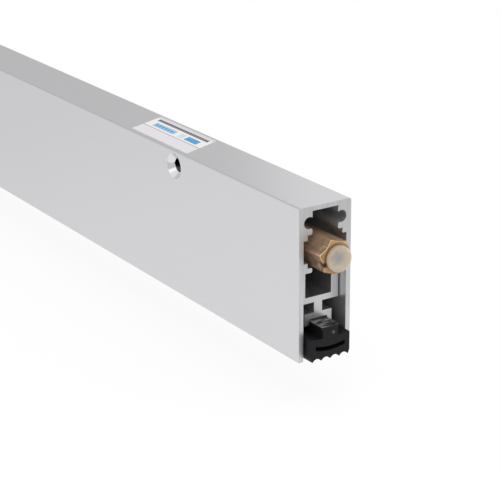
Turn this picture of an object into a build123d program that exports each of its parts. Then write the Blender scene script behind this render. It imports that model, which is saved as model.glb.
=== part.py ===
from build123d import *
import math
import os

os.makedirs("parts", exist_ok=True)

# Automatic door bottom seal, in millimetres.
# X runs along the door with the plunger at +X, Y from the front to the door, Z up.
# The origin is the centre of the back face, which lies against the door.
# Heights are measured from the bottom edge of the housing, and depths from its top.

# Housing, an aluminium extrusion open at the bottom
HOUSING_LENGTH = 335.0
HOUSING_WIDTH = 15.0
HOUSING_HEIGHT = 39.0
HOUSING_WALL = 1.3
HOUSING_ROOF = 1.15
HOUSING_EDGE_RADIUS = 0.5

# Inside of the housing: two pairs of stepped ribs, with a slot between them for the rod
ROD_DEPTH = 12.1
SLOT_ABOVE_ROD = 3.8
SLOT_BELOW_ROD = 1.9
RIB_OVERHANG = 0.1
RIB_STEP_WIDTH = 1.35
RIB_STEP_HEIGHT = 1.3
RIB_NOSE_HEIGHT = 1.2
RIB_NOSE_RADIUS = 0.45
PORT_RADIUS = 1.5
PORT_SETBACK = 0.9
PORT_DEPTH = 4.0

# Countersunk fixing holes through both walls
FIXING_END_DISTANCE = 56.5
FIXING_DEPTH = 4.1
FIXING_DIAMETER = 3.8
FIXING_SINK_DIAMETER = 6.8
COUNTERSINK_ANGLE = 90.0

# Paper label on the roof, a slanted rectangle
LABEL_LENGTH = 28.3
LABEL_WIDTH = 12.1
LABEL_SLANT = 5.1
LABEL_THICKNESS = 0.15
LABEL_END_DISTANCE = 69.0
LABEL_FRONT_MARGIN = 1.4

# Push rod with its adjuster, along the housing
ROD_DIAMETER = 4.0
ROD_TIP_RECESS = 4.0
ROD_END_CHAMFER = 0.4
HEX_OVERLAP = 0.3
HEX_STICK_OUT = 4.8
HEX_LENGTH = 16.8
HEX_CHAMFER = 0.8
HEX_TURN = 46.0
THREAD_PITCH = 0.7
ADJUST_TRAVEL = 3.0
TIP_MARGIN = 0.75
TIP_RIM = 1.1
TIP_DOME = 1.2
TIP_STEM_DIAMETER = 4.0
TIP_STEM_LENGTH = 3.2

# Return spring between a collar on the rod and the front guide
COLLAR_DIAMETER = 8.4
COLLAR_LENGTH = 4.0
COLLAR_DISTANCE = 18.0
SPRING_LENGTH = 16.0
SPRING_WIRE = 0.8
SPRING_DIAMETER = 7.0
SPRING_TURNS = 6.0

# Guide blocks, fixed in the slot, and slide blocks, clamped on the rod
GUIDE_LENGTH = 12.0
GUIDE_CREST = 0.3
REAR_GUIDE_DISTANCE = 267.5
ROD_PAST_GUIDE = 8.0
BLOCK_LENGTH = 12.0
BLOCK_NECK_DROP = 0.5
REAR_BLOCK_DISTANCE = 192.5
EAR_HEIGHT = 4.0
EAR_SETBACK = 3.0

# Link arms, two plates on each pair of pins
LINK_LENGTH = 28.0
LINK_THICKNESS = 0.8
LINK_EYE_DIAMETER = 4.4
PIN_DIAMETER = 2.4
PIN_HEAD_DIAMETER = 3.4
PIN_HEAD_HEIGHT = 0.25
PUSH_TRAVEL = 5.0

# Carrier rail, an aluminium extrusion that drops out of the housing
# The shares are of the height under the ribs
CARRIER_RECESS = 2.7
CARRIER_WALL = 2.1
CARRIER_DEPTH_SHARE = 0.32
CARRIER_FLOOR = 1.5
WEB_THICKNESS = 2.4
WEB_HEIGHT_SHARE = 0.12
CHANNEL_SETBACK = 1.9
CHANNEL_ROOF = 1.5
LIP_THICKNESS = 1.3
LIP_HEIGHT = 1.7
LIP_HOOK = 0.35
LIP_HOOK_HEIGHT = 0.4

# Rubber strip, with its head in the channel of the rail
# The shares are of the height of its body
SEAL_STICK_OUT = 2.55
SEAL_BOTTOM = 0.4
SEAL_BEVEL_HEIGHT = 1.1
RIDGE_COUNT = 5
RIDGE_MARGIN = 0.44
VALLEY_DEPTH = 0.75
CUSHION_SLOT_MARGIN = 1.4
CUSHION_SLOT_HEIGHT_SHARE = 0.187
CUSHION_SLOT_MIDDLE_SHARE = 0.475
CUSHION_SLOT_SAG_SHARE = 0.1
CUSHION_SLOT_CORNER = 0.35

# Carrier brackets, riveted into the rail, with a slotted ear for the lower pin
FOOT_LENGTH = 13.0
FOOT_TO_RAIL_TOP = 1.2
FOOT_SETBACK = 4.2
BRACKET_EAR_HEIGHT = 5.0
EYE_TO_FLOOR = 0.55
RIVET_DIAMETER = 3.0
RIVET_HEAD_DIAMETER = 4.6
RIVET_SPACING = 6.5

# Screws that hold the guides, collar and blocks
GUIDE_SCREW_DIAMETER = 2.5
GUIDE_SCREW_HEAD = 4.4
GUIDE_SCREW_LENGTH = 4.6
GUIDE_SCREW_SOCKET = 1.5
SET_SCREW_DIAMETER = 2.5
SET_SCREW_SOCKET = 1.3
SOCKET_DEPTH = 0.8

# Clearances
SLOT_CLEARANCE = 0.1
NECK_CLEARANCE = 0.2
RUNNING_CLEARANCE = 0.05
FACE_CLEARANCE = 0.1
SEATED_CLEARANCE = 0.02
RAIL_SIDE_CLEARANCE = 0.3
RAIL_TOP_CLEARANCE = 0.3
LINK_SIDE_CLEARANCE = 0.3
SEAL_SIDE_CLEARANCE = 0.5
SEAL_HEAD_CLEARANCE = 0.1
SEAL_HEAD_GAP = 0.4
SEAL_SHOULDER_GAP = 1.3
STOP_GAP = 0.1

# Heights of the housing's inside, which follow from the rod
ROD_HEIGHT = HOUSING_HEIGHT - ROD_DEPTH
SLOT_CEILING = ROD_HEIGHT + SLOT_ABOVE_ROD
SLOT_FLOOR = ROD_HEIGHT - SLOT_BELOW_ROD
RIB_UPPER_STEP = SLOT_CEILING + RIB_STEP_HEIGHT
RIB_LOWER_STEP = SLOT_FLOOR - RIB_STEP_HEIGHT
RIB_UNDERSIDE = RIB_LOWER_STEP - RIB_NOSE_HEIGHT
PORT_HEIGHT = HOUSING_HEIGHT - PORT_DEPTH

# Widths, which follow from the housing: the ribs reach just over the walls of the rail
INNER_WIDTH = HOUSING_WIDTH - 2 * HOUSING_WALL
CARRIER_WIDTH = INNER_WIDTH - 2 * RAIL_SIDE_CLEARANCE
CARRIER_INNER_WIDTH = CARRIER_WIDTH - 2 * CARRIER_WALL
RIB_GAP = CARRIER_INNER_WIDTH - 2 * RIB_OVERHANG
STEP_GAP = RIB_GAP + 2 * RIB_STEP_WIDTH
PORT_SPACING = RIB_GAP + 2 * PORT_SETBACK
HEX_ACROSS_FLATS = RIB_GAP + 2 * HEX_OVERLAP
TIP_DIAMETER = HEX_ACROSS_FLATS - 2 * TIP_MARGIN

# Heights and widths of the rail and the rubber, which hang under the ribs
CARRIER_DEPTH = RIB_UNDERSIDE * CARRIER_DEPTH_SHARE
CARRIER_TOP = RIB_UNDERSIDE - RAIL_TOP_CLEARANCE
FLOOR_HEIGHT = CARRIER_TOP - CARRIER_DEPTH
WEB_TOP = FLOOR_HEIGHT - CARRIER_FLOOR
CHANNEL_TOP = WEB_TOP - RIB_UNDERSIDE * WEB_HEIGHT_SHARE
CHANNEL_CEILING = CHANNEL_TOP - CHANNEL_ROOF
CHANNEL_WIDTH = CARRIER_WIDTH - 2 * CHANNEL_SETBACK
LIP_BOTTOM = CHANNEL_CEILING - LIP_HEIGHT
SEAL_WIDTH = INNER_WIDTH - 2 * SEAL_SIDE_CLEARANCE
SEAL_SHOULDER = LIP_BOTTOM - SEAL_SHOULDER_GAP
SEAL_BODY_HEIGHT = SEAL_SHOULDER - SEAL_BOTTOM
RIDGE_PITCH = (SEAL_WIDTH - 2 * RIDGE_MARGIN) / (RIDGE_COUNT - 1)
FOOT_HEIGHT = CARRIER_DEPTH - FOOT_TO_RAIL_TOP

# Width of the ears between the link plates, which fit in the rail with their pin heads
PLATES_WIDTH = CARRIER_INNER_WIDTH - 2 * LINK_SIDE_CLEARANCE - 2 * PIN_HEAD_HEIGHT
EAR_WIDTH = PLATES_WIDTH - 2 * (RUNNING_CLEARANCE + LINK_THICKNESS + FACE_CLEARANCE)

# Places that follow from the sizes
CENTRE_Y = -HOUSING_WIDTH / 2
BOTTOM_Z = -HOUSING_HEIGHT / 2
END_X = HOUSING_LENGTH / 2
SLOT_MIDDLE = (SLOT_FLOOR + SLOT_CEILING) / 2
BLOCK_NECK_BOTTOM = RIB_UNDERSIDE - BLOCK_NECK_DROP
LOWER_PIN_HEIGHT = FLOOR_HEIGHT + EYE_TO_FLOOR + LINK_EYE_DIAMETER / 2
UPPER_PIN_HEIGHT = ROD_HEIGHT - ROD_DIAMETER / 2 - NECK_CLEARANCE - EAR_HEIGHT / 2
COLLAR_X = END_X - COLLAR_DISTANCE
GUIDE_X = COLLAR_X - COLLAR_LENGTH - SPRING_LENGTH
REAR_GUIDE_X = END_X - REAR_GUIDE_DISTANCE
FRONT_BLOCK_X = GUIDE_X - GUIDE_LENGTH - STOP_GAP
REAR_BLOCK_X = END_X - REAR_BLOCK_DISTANCE
ROD_FRONT_X = END_X - ROD_TIP_RECESS
ROD_REAR_X = REAR_GUIDE_X - GUIDE_LENGTH - ROD_PAST_GUIDE

# Swing of the link arms: the upper pins travel with the rod, the rail drops straight
LINK_RISE = UPPER_PIN_HEIGHT - LOWER_PIN_HEIGHT
REST_ANGLE = math.asin(LINK_RISE / LINK_LENGTH)
REST_REACH = LINK_LENGTH * math.cos(REST_ANGLE)
FULL_ANGLE = math.acos((REST_REACH - PUSH_TRAVEL) / LINK_LENGTH)
DROP = LINK_LENGTH * (math.sin(FULL_ANGLE) - math.sin(REST_ANGLE))
MIDDLE_ANGLE = (REST_ANGLE + FULL_ANGLE) / 2
PIN_DRIFT = LINK_LENGTH * math.cos(MIDDLE_ANGLE) - REST_REACH + PUSH_TRAVEL / 2
PIN_SINK = LINK_LENGTH * (math.sin(MIDDLE_ANGLE) - math.sin(REST_ANGLE)) - DROP / 2

print(f"link swing {math.degrees(REST_ANGLE):.3f} to {math.degrees(FULL_ANGLE):.3f} degrees")
print(f"rail drop {DROP:.3f} mm, pin drift {PIN_DRIFT:.3f} mm, pin sink {PIN_SINK:.3f} mm")
print(f"adjuster {THREAD_PITCH:.2f} mm a turn, {ADJUST_TRAVEL / THREAD_PITCH:.2f} turns each way")


def sink_depth(head_diameter, shank_diameter):
    """Depth of a countersunk head."""
    half_angle = math.radians(COUNTERSINK_ANGLE / 2)
    return (head_diameter - shank_diameter) / 2 / math.tan(half_angle)


def section_plane(x):
    """Cross-section at x, seen from the plunger end: local X to the door, local Y up."""
    return Plane(origin=(x, CENTRE_Y, BOTTOM_Z), x_dir=(0, 1, 0), z_dir=(1, 0, 0))


def side_plane(y=0):
    """Lengthwise plane, y from the middle: local X along the housing, local Y up."""
    return Plane(origin=(0, CENTRE_Y + y, BOTTOM_Z), x_dir=(1, 0, 0), z_dir=(0, -1, 0))


def rod_axis():
    """The centre line of the push rod."""
    return Axis((0, CENTRE_Y, BOTTOM_Z + ROD_HEIGHT), (1, 0, 0))


def pin_plane(x, height):
    """Plane through a cross pin: local X along the pin to the door, local Y outward."""
    return Plane(
        origin=(x, CENTRE_Y, BOTTOM_Z + height), x_dir=(0, 1, 0), z_dir=(0, 0, 1)
    )


def pin_axis(x, height):
    """The centre line of a cross pin."""
    return Axis((x, CENTRE_Y, BOTTOM_Z + height), (0, 1, 0))


def upright_plane(x, height):
    """Level plane under a set screw, which points up."""
    return Plane(origin=(x, CENTRE_Y, BOTTOM_Z + height), x_dir=(1, 0, 0), z_dir=(0, 0, 1))


def wall_screw_plane(x):
    """The back face where a guide's screw goes in, facing the door."""
    return Plane(origin=(x, 0, BOTTOM_Z + SLOT_MIDDLE), x_dir=(-1, 0, 0), z_dir=(0, 1, 0))


# Housing
with BuildPart() as housing:
    with BuildSketch(section_plane(-END_X)) as housing_profile:
        Rectangle(HOUSING_WIDTH, HOUSING_HEIGHT, align=(Align.CENTER, Align.MIN))
        fillet(housing_profile.vertices().group_by(Axis.Y)[-1], HOUSING_EDGE_RADIUS)
        with BuildLine():
            Polyline(
                (0, 0),
                (INNER_WIDTH / 2, 0),
                (INNER_WIDTH / 2, RIB_UNDERSIDE),
                (RIB_GAP / 2, RIB_UNDERSIDE),
                (RIB_GAP / 2, RIB_LOWER_STEP),
                (STEP_GAP / 2, RIB_LOWER_STEP),
                (STEP_GAP / 2, SLOT_FLOOR),
                (INNER_WIDTH / 2, SLOT_FLOOR),
                (INNER_WIDTH / 2, SLOT_CEILING),
                (STEP_GAP / 2, SLOT_CEILING),
                (STEP_GAP / 2, RIB_UPPER_STEP),
                (RIB_GAP / 2, RIB_UPPER_STEP),
                (RIB_GAP / 2, HOUSING_HEIGHT - HOUSING_ROOF),
                (0, HOUSING_HEIGHT - HOUSING_ROOF),
            )
            mirror(about=Plane.YZ)
        make_face(mode=Mode.SUBTRACT)
        with GridLocations(PORT_SPACING, 0, 2, 1):
            with Locations((0, PORT_HEIGHT)):
                Circle(PORT_RADIUS, mode=Mode.SUBTRACT)
        rib_noses = housing_profile.vertices().filter_by(
            lambda corner: abs(abs(corner.X) - RIB_GAP / 2) < RUNNING_CLEARANCE
            and corner.Y < PORT_HEIGHT
        )
        fillet(rib_noses, RIB_NOSE_RADIUS)
    extrude(amount=HOUSING_LENGTH)
    front_face = Plane(
        origin=(0, -HOUSING_WIDTH, -BOTTOM_Z - FIXING_DEPTH), x_dir=(1, 0, 0), z_dir=(0, -1, 0)
    )
    with Locations(front_face):
        with GridLocations(HOUSING_LENGTH - 2 * FIXING_END_DISTANCE, 0, 2, 1):
            CounterSinkHole(
                FIXING_DIAMETER / 2, FIXING_SINK_DIAMETER / 2, HOUSING_WIDTH, COUNTERSINK_ANGLE
            )
    for guide_x in (GUIDE_X, REAR_GUIDE_X):
        with Locations(wall_screw_plane(guide_x - GUIDE_LENGTH / 2)):
            CounterSinkHole(
                GUIDE_SCREW_DIAMETER / 2 + SEATED_CLEARANCE,
                GUIDE_SCREW_HEAD / 2 + SEATED_CLEARANCE,
                HOUSING_WALL + SLOT_CLEARANCE,
                COUNTERSINK_ANGLE,
            )
housing.part.label = "housing"
export_step(housing.part, "parts/housing.step")


# Label on the roof
with BuildPart() as label:
    with BuildSketch(
        Plane((END_X - LABEL_END_DISTANCE, LABEL_FRONT_MARGIN - HOUSING_WIDTH, -BOTTOM_Z))
    ):
        with BuildLine():
            Polyline(
                ((LABEL_SLANT - LABEL_LENGTH) / 2, 0),
                ((LABEL_SLANT + LABEL_LENGTH) / 2, 0),
                ((LABEL_LENGTH - LABEL_SLANT) / 2, LABEL_WIDTH),
                (-(LABEL_LENGTH + LABEL_SLANT) / 2, LABEL_WIDTH),
                close=True,
            )
        make_face()
    extrude(amount=LABEL_THICKNESS)
label.part.label = "label"
export_step(label.part, "parts/label.step")


# Push rod
with BuildPart() as push_rod:
    with BuildSketch(section_plane(ROD_REAR_X)):
        with Locations((0, ROD_HEIGHT)):
            Circle(ROD_DIAMETER / 2)
    extrude(amount=ROD_FRONT_X - ROD_REAR_X)
    chamfer(push_rod.edges().filter_by(GeomType.CIRCLE), ROD_END_CHAMFER)
push_rod.part.label = "push_rod"
export_step(push_rod.part, "parts/push_rod.step")


# Hexagonal adjuster, screwed on the front of the rod
with BuildPart() as adjuster_hex:
    with BuildSketch(section_plane(END_X + HEX_STICK_OUT - HEX_LENGTH)):
        with Locations((0, ROD_HEIGHT)):
            RegularPolygon(HEX_ACROSS_FLATS / 2, 6, major_radius=False, rotation=HEX_TURN)
    extrude(amount=HEX_LENGTH)
    corner_radius = HEX_ACROSS_FLATS / 2 / math.cos(math.pi / 6)
    hex_front = END_X + HEX_STICK_OUT
    hex_rear = hex_front - HEX_LENGTH
    with BuildSketch(side_plane()):
        with BuildLine():
            Polyline(
                (hex_rear, ROD_HEIGHT),
                (hex_rear, ROD_HEIGHT + corner_radius - HEX_CHAMFER),
                (hex_rear + HEX_CHAMFER, ROD_HEIGHT + corner_radius),
                (hex_front - HEX_CHAMFER, ROD_HEIGHT + corner_radius),
                (hex_front, ROD_HEIGHT + corner_radius - HEX_CHAMFER),
                (hex_front, ROD_HEIGHT),
                close=True,
            )
        make_face()
    revolve(axis=rod_axis(), mode=Mode.INTERSECT)
    with BuildSketch(section_plane(hex_rear)):
        with Locations((0, ROD_HEIGHT)):
            Circle(ROD_DIAMETER / 2 + RUNNING_CLEARANCE)
    extrude(amount=ROD_FRONT_X + ADJUST_TRAVEL + FACE_CLEARANCE - hex_rear, mode=Mode.SUBTRACT)
    with BuildSketch(section_plane(hex_front - TIP_STEM_LENGTH - FACE_CLEARANCE)):
        with Locations((0, ROD_HEIGHT)):
            Circle(TIP_STEM_DIAMETER / 2 + RUNNING_CLEARANCE)
    extrude(amount=TIP_STEM_LENGTH + FACE_CLEARANCE, mode=Mode.SUBTRACT)
adjuster_hex.part.label = "adjuster_hex"
export_step(adjuster_hex.part, "parts/adjuster_hex.step")


# Domed nylon tip, snapped into the front of the adjuster
with BuildPart() as plunger_tip:
    with BuildSketch(side_plane()):
        with BuildLine():
            tip_seat = hex_front + SEATED_CLEARANCE
            tip_face = tip_seat + TIP_RIM + TIP_DOME
            Polyline(
                (tip_face, ROD_HEIGHT),
                (hex_front - TIP_STEM_LENGTH, ROD_HEIGHT),
                (hex_front - TIP_STEM_LENGTH, ROD_HEIGHT + TIP_STEM_DIAMETER / 2),
                (tip_seat, ROD_HEIGHT + TIP_STEM_DIAMETER / 2),
                (tip_seat, ROD_HEIGHT + TIP_DIAMETER / 2),
                (tip_seat + TIP_RIM, ROD_HEIGHT + TIP_DIAMETER / 2),
            )
            EllipticalCenterArc(
                (tip_seat + TIP_RIM, ROD_HEIGHT), TIP_DOME, TIP_DIAMETER / 2, arc_size=90
            )
        make_face()
    revolve(axis=rod_axis())
plunger_tip.part.label = "plunger_tip"
export_step(plunger_tip.part, "parts/plunger_tip.step")


# Collar, clamped on the rod in front of the return spring
with BuildPart() as spring_collar:
    with BuildSketch(section_plane(COLLAR_X - COLLAR_LENGTH)):
        with Locations((0, ROD_HEIGHT)):
            Circle(COLLAR_DIAMETER / 2)
            Circle(ROD_DIAMETER / 2 + SEATED_CLEARANCE, mode=Mode.SUBTRACT)
    extrude(amount=COLLAR_LENGTH)
    collar_circles = spring_collar.edges().filter_by(GeomType.CIRCLE)
    chamfer(collar_circles.group_by(SortBy.RADIUS)[-1], ROD_END_CHAMFER)
    with BuildSketch(upright_plane(COLLAR_X - COLLAR_LENGTH / 2, ROD_HEIGHT - COLLAR_DIAMETER)):
        Circle(SET_SCREW_DIAMETER / 2 + SEATED_CLEARANCE)
    extrude(amount=COLLAR_DIAMETER, mode=Mode.SUBTRACT)
spring_collar.part.label = "spring_collar"
export_step(spring_collar.part, "parts/spring_collar.step")


# Return spring, a helix round the rod
with BuildPart() as return_spring:
    coil_height = SPRING_LENGTH - SPRING_WIRE - 2 * FACE_CLEARANCE
    with BuildLine() as coil:
        Helix(
            coil_height / SPRING_TURNS,
            coil_height,
            (SPRING_DIAMETER - SPRING_WIRE) / 2,
            center=(GUIDE_X + SPRING_WIRE / 2 + FACE_CLEARANCE, CENTRE_Y, BOTTOM_Z + ROD_HEIGHT),
            direction=(1, 0, 0),
        )
    with BuildSketch(Plane(origin=coil.line @ 0, z_dir=coil.line % 0)):
        Circle(SPRING_WIRE / 2)
    sweep()
return_spring.part.label = "return_spring"
export_step(return_spring.part, "parts/return_spring.step")


def block_section(neck_bottom, neck_top):
    """T-shaped section of a block that runs in the slot, with its neck between the ribs."""
    flange_width = INNER_WIDTH - 2 * SLOT_CLEARANCE
    flange_bottom = SLOT_FLOOR + SLOT_CLEARANCE
    flange_top = SLOT_CEILING - SLOT_CLEARANCE
    with Locations((0, flange_bottom)):
        Rectangle(
            flange_width, flange_top - flange_bottom, align=(Align.CENTER, Align.MIN)
        )
    with Locations((0, neck_bottom)):
        Rectangle(
            RIB_GAP - 2 * NECK_CLEARANCE, neck_top - neck_bottom, align=(Align.CENTER, Align.MIN)
        )


# Guide blocks, with the rod's bearing, held by a screw through the back wall
for place, guide_x in (("front", GUIDE_X), ("rear", REAR_GUIDE_X)):
    with BuildPart() as guide:
        with BuildSketch(section_plane(guide_x - GUIDE_LENGTH)):
            block_section(RIB_UNDERSIDE + NECK_CLEARANCE, RIB_UPPER_STEP + GUIDE_CREST)
            with Locations((0, ROD_HEIGHT)):
                Circle(ROD_DIAMETER / 2 + RUNNING_CLEARANCE, mode=Mode.SUBTRACT)
        extrude(amount=GUIDE_LENGTH)
        screw_seat = wall_screw_plane(guide_x - GUIDE_LENGTH / 2)
        with Locations(screw_seat):
            Hole(
                GUIDE_SCREW_DIAMETER / 2 + SEATED_CLEARANCE,
                GUIDE_SCREW_LENGTH + FACE_CLEARANCE,
            )
    guide.part.label = f"{place}_guide"
    export_step(guide.part, f"parts/{place}_guide.step")

    with BuildPart() as guide_screw:
        with BuildSketch(pin_plane(guide_x - GUIDE_LENGTH / 2, SLOT_MIDDLE)):
            head_face = HOUSING_WIDTH / 2 - SEATED_CLEARANCE
            head_depth = sink_depth(GUIDE_SCREW_HEAD, GUIDE_SCREW_DIAMETER)
            with BuildLine():
                Polyline(
                    (head_face, 0),
                    (head_face, GUIDE_SCREW_HEAD / 2),
                    (head_face - head_depth, GUIDE_SCREW_DIAMETER / 2),
                    (head_face - GUIDE_SCREW_LENGTH, GUIDE_SCREW_DIAMETER / 2),
                    (head_face - GUIDE_SCREW_LENGTH, 0),
                    close=True,
                )
            make_face()
        revolve(axis=pin_axis(guide_x - GUIDE_LENGTH / 2, SLOT_MIDDLE))
        with BuildSketch(screw_seat):
            RegularPolygon(GUIDE_SCREW_SOCKET / 2, 6, major_radius=False)
        extrude(amount=-SOCKET_DEPTH, mode=Mode.SUBTRACT)
    guide_screw.part.label = f"{place}_guide_screw"
    export_step(guide_screw.part, f"parts/{place}_guide_screw.step")


# Slide blocks on the rod, each with an ear for the upper pin of its link arms
for place, block_x in (("front", FRONT_BLOCK_X), ("rear", REAR_BLOCK_X)):
    block_rear = block_x - BLOCK_LENGTH
    upper_pin_x = block_rear - EAR_SETBACK
    with BuildPart() as slide_block:
        with BuildSketch(section_plane(block_rear)):
            block_section(BLOCK_NECK_BOTTOM, SLOT_CEILING - SLOT_CLEARANCE)
        extrude(amount=BLOCK_LENGTH)
        with BuildSketch(side_plane()):
            with BuildLine():
                ear_top = UPPER_PIN_HEIGHT + EAR_HEIGHT / 2
                ear_bottom = UPPER_PIN_HEIGHT - EAR_HEIGHT / 2
                Polyline(
                    (upper_pin_x, ear_top),
                    (block_rear + EAR_SETBACK, ear_top),
                    (block_rear + EAR_SETBACK, BLOCK_NECK_BOTTOM),
                    (block_rear, ear_bottom),
                    (upper_pin_x, ear_bottom),
                    close=True,
                )
            make_face()
            with Locations((upper_pin_x, UPPER_PIN_HEIGHT)):
                Circle(EAR_HEIGHT / 2)
        extrude(amount=EAR_WIDTH / 2, both=True)
        with BuildSketch(section_plane(block_rear - 2 * EAR_SETBACK)):
            with Locations((0, ROD_HEIGHT)):
                Circle(ROD_DIAMETER / 2 + SEATED_CLEARANCE)
        extrude(amount=BLOCK_LENGTH + 2 * EAR_SETBACK, mode=Mode.SUBTRACT)
        with BuildSketch(side_plane()):
            with Locations((upper_pin_x, UPPER_PIN_HEIGHT)):
                Circle(PIN_DIAMETER / 2 + SEATED_CLEARANCE)
        extrude(amount=EAR_WIDTH, both=True, mode=Mode.SUBTRACT)
        with BuildSketch(upright_plane(block_x - BLOCK_LENGTH / 2, BLOCK_NECK_BOTTOM)):
            Circle(SET_SCREW_DIAMETER / 2 + SEATED_CLEARANCE)
        extrude(amount=ROD_HEIGHT - BLOCK_NECK_BOTTOM, mode=Mode.SUBTRACT)
    slide_block.part.label = f"{place}_slide_block"
    export_step(slide_block.part, f"parts/{place}_slide_block.step")


# Set screws under the collar and the slide blocks, with their points on the rod
collar_screw_bottom = ROD_HEIGHT - COLLAR_DIAMETER / 2 + NECK_CLEARANCE
set_screw_places = (
    ("collar_screw", COLLAR_X - COLLAR_LENGTH / 2, collar_screw_bottom),
    ("front_block_screw", FRONT_BLOCK_X - BLOCK_LENGTH / 2, BLOCK_NECK_BOTTOM),
    ("rear_block_screw", REAR_BLOCK_X - BLOCK_LENGTH / 2, BLOCK_NECK_BOTTOM),
)
for name, screw_x, screw_bottom in set_screw_places:
    screw_length = ROD_HEIGHT - ROD_DIAMETER / 2 - SEATED_CLEARANCE - screw_bottom
    with BuildPart() as set_screw:
        with BuildSketch(upright_plane(screw_x, screw_bottom)):
            Circle(SET_SCREW_DIAMETER / 2)
        extrude(amount=screw_length)
        with BuildSketch(upright_plane(screw_x, screw_bottom)):
            RegularPolygon(SET_SCREW_SOCKET / 2, 6, major_radius=False)
        extrude(amount=SOCKET_DEPTH, mode=Mode.SUBTRACT)
    set_screw.part.label = name
    export_step(set_screw.part, f"parts/{name}.step")


def headed_pin(x, height):
    """Pin across the link plates, with a thin riveted head over each plate."""
    head_inside = PLATES_WIDTH / 2
    head_outside = head_inside + PIN_HEAD_HEIGHT
    with BuildPart() as pin:
        with BuildSketch(pin_plane(x, height)):
            with BuildLine():
                Polyline(
                    (-head_outside, 0),
                    (-head_outside, PIN_HEAD_DIAMETER / 2),
                    (-head_inside, PIN_HEAD_DIAMETER / 2),
                    (-head_inside, PIN_DIAMETER / 2),
                    (head_inside, PIN_DIAMETER / 2),
                    (head_inside, PIN_HEAD_DIAMETER / 2),
                    (head_outside, PIN_HEAD_DIAMETER / 2),
                    (head_outside, 0),
                    close=True,
                )
            make_face()
        revolve(axis=pin_axis(x, height))
    return pin


# Link arms and their pins
for place, block_x in (("front", FRONT_BLOCK_X), ("rear", REAR_BLOCK_X)):
    upper_pin_x = block_x - BLOCK_LENGTH - EAR_SETBACK
    lower_pin_x = upper_pin_x - REST_REACH

    upper_pin = headed_pin(upper_pin_x, UPPER_PIN_HEIGHT)
    upper_pin.part.label = f"{place}_upper_pin"
    export_step(upper_pin.part, f"parts/{place}_upper_pin.step")

    lower_pin = headed_pin(lower_pin_x, LOWER_PIN_HEIGHT)
    lower_pin.part.label = f"{place}_lower_pin"
    export_step(lower_pin.part, f"parts/{place}_lower_pin.step")

    link_tilt = math.degrees(REST_ANGLE)
    link_middle_x = (lower_pin_x + upper_pin_x) / 2
    plate_middle = EAR_WIDTH / 2 + FACE_CLEARANCE + LINK_THICKNESS / 2
    for side, plate_y in (("room", -plate_middle), ("door", plate_middle)):
        with BuildPart() as link:
            with BuildSketch(side_plane(plate_y)):
                with Locations((link_middle_x, (LOWER_PIN_HEIGHT + UPPER_PIN_HEIGHT) / 2)):
                    SlotCenterToCenter(LINK_LENGTH, LINK_EYE_DIAMETER, rotation=link_tilt)
                with Locations((lower_pin_x, LOWER_PIN_HEIGHT)):
                    Circle(PIN_DIAMETER / 2 + SEATED_CLEARANCE, mode=Mode.SUBTRACT)
                with Locations((upper_pin_x, UPPER_PIN_HEIGHT)):
                    Circle(PIN_DIAMETER / 2 + RUNNING_CLEARANCE, mode=Mode.SUBTRACT)
            extrude(amount=LINK_THICKNESS / 2, both=True)
        link.part.label = f"{place}_link_{side}_side"
        export_step(link.part, f"parts/{place}_link_{side}_side.step")


# Carrier rail
RAIL_FRONT_X = END_X - CARRIER_RECESS
RAIL_LENGTH = HOUSING_LENGTH - 2 * CARRIER_RECESS
RIVET_HEIGHT = FLOOR_HEIGHT + FOOT_HEIGHT / 2
lip_inside = CHANNEL_WIDTH / 2 - LIP_THICKNESS
with BuildPart() as carrier_rail:
    with BuildSketch(section_plane(RAIL_FRONT_X - RAIL_LENGTH)):
        with BuildLine():
            Polyline(
                (0, FLOOR_HEIGHT),
                (CARRIER_INNER_WIDTH / 2, FLOOR_HEIGHT),
                (CARRIER_INNER_WIDTH / 2, CARRIER_TOP),
                (CARRIER_WIDTH / 2, CARRIER_TOP),
                (CARRIER_WIDTH / 2, WEB_TOP),
                (WEB_THICKNESS / 2, WEB_TOP),
                (WEB_THICKNESS / 2, CHANNEL_TOP),
                (CHANNEL_WIDTH / 2, CHANNEL_TOP),
                (CHANNEL_WIDTH / 2, LIP_BOTTOM),
                (lip_inside - LIP_HOOK, LIP_BOTTOM + LIP_HOOK_HEIGHT),
                (lip_inside, LIP_BOTTOM + 2 * LIP_HOOK_HEIGHT),
                (lip_inside, CHANNEL_CEILING),
                (0, CHANNEL_CEILING),
            )
            mirror(about=Plane.YZ)
        make_face()
    extrude(amount=RAIL_LENGTH)
    for block_x in (FRONT_BLOCK_X, REAR_BLOCK_X):
        foot_front_x = block_x - BLOCK_LENGTH - EAR_SETBACK - REST_REACH - FOOT_SETBACK
        for face_y, face_side in ((-CARRIER_WIDTH / 2, -1), (CARRIER_WIDTH / 2, 1)):
            rivet_face = Plane(
                origin=(
                    foot_front_x - FOOT_LENGTH / 2, CENTRE_Y + face_y, BOTTOM_Z + RIVET_HEIGHT
                ),
                x_dir=(1, 0, 0),
                z_dir=(0, face_side, 0),
            )
            with Locations(rivet_face):
                with GridLocations(RIVET_SPACING, 0, 2, 1):
                    CounterSinkHole(
                        RIVET_DIAMETER / 2 + SEATED_CLEARANCE,
                        RIVET_HEAD_DIAMETER / 2 + SEATED_CLEARANCE,
                        CARRIER_WALL + FACE_CLEARANCE,
                        COUNTERSINK_ANGLE,
                    )
carrier_rail.part.label = "carrier_rail"
export_step(carrier_rail.part, "parts/carrier_rail.step")


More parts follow.
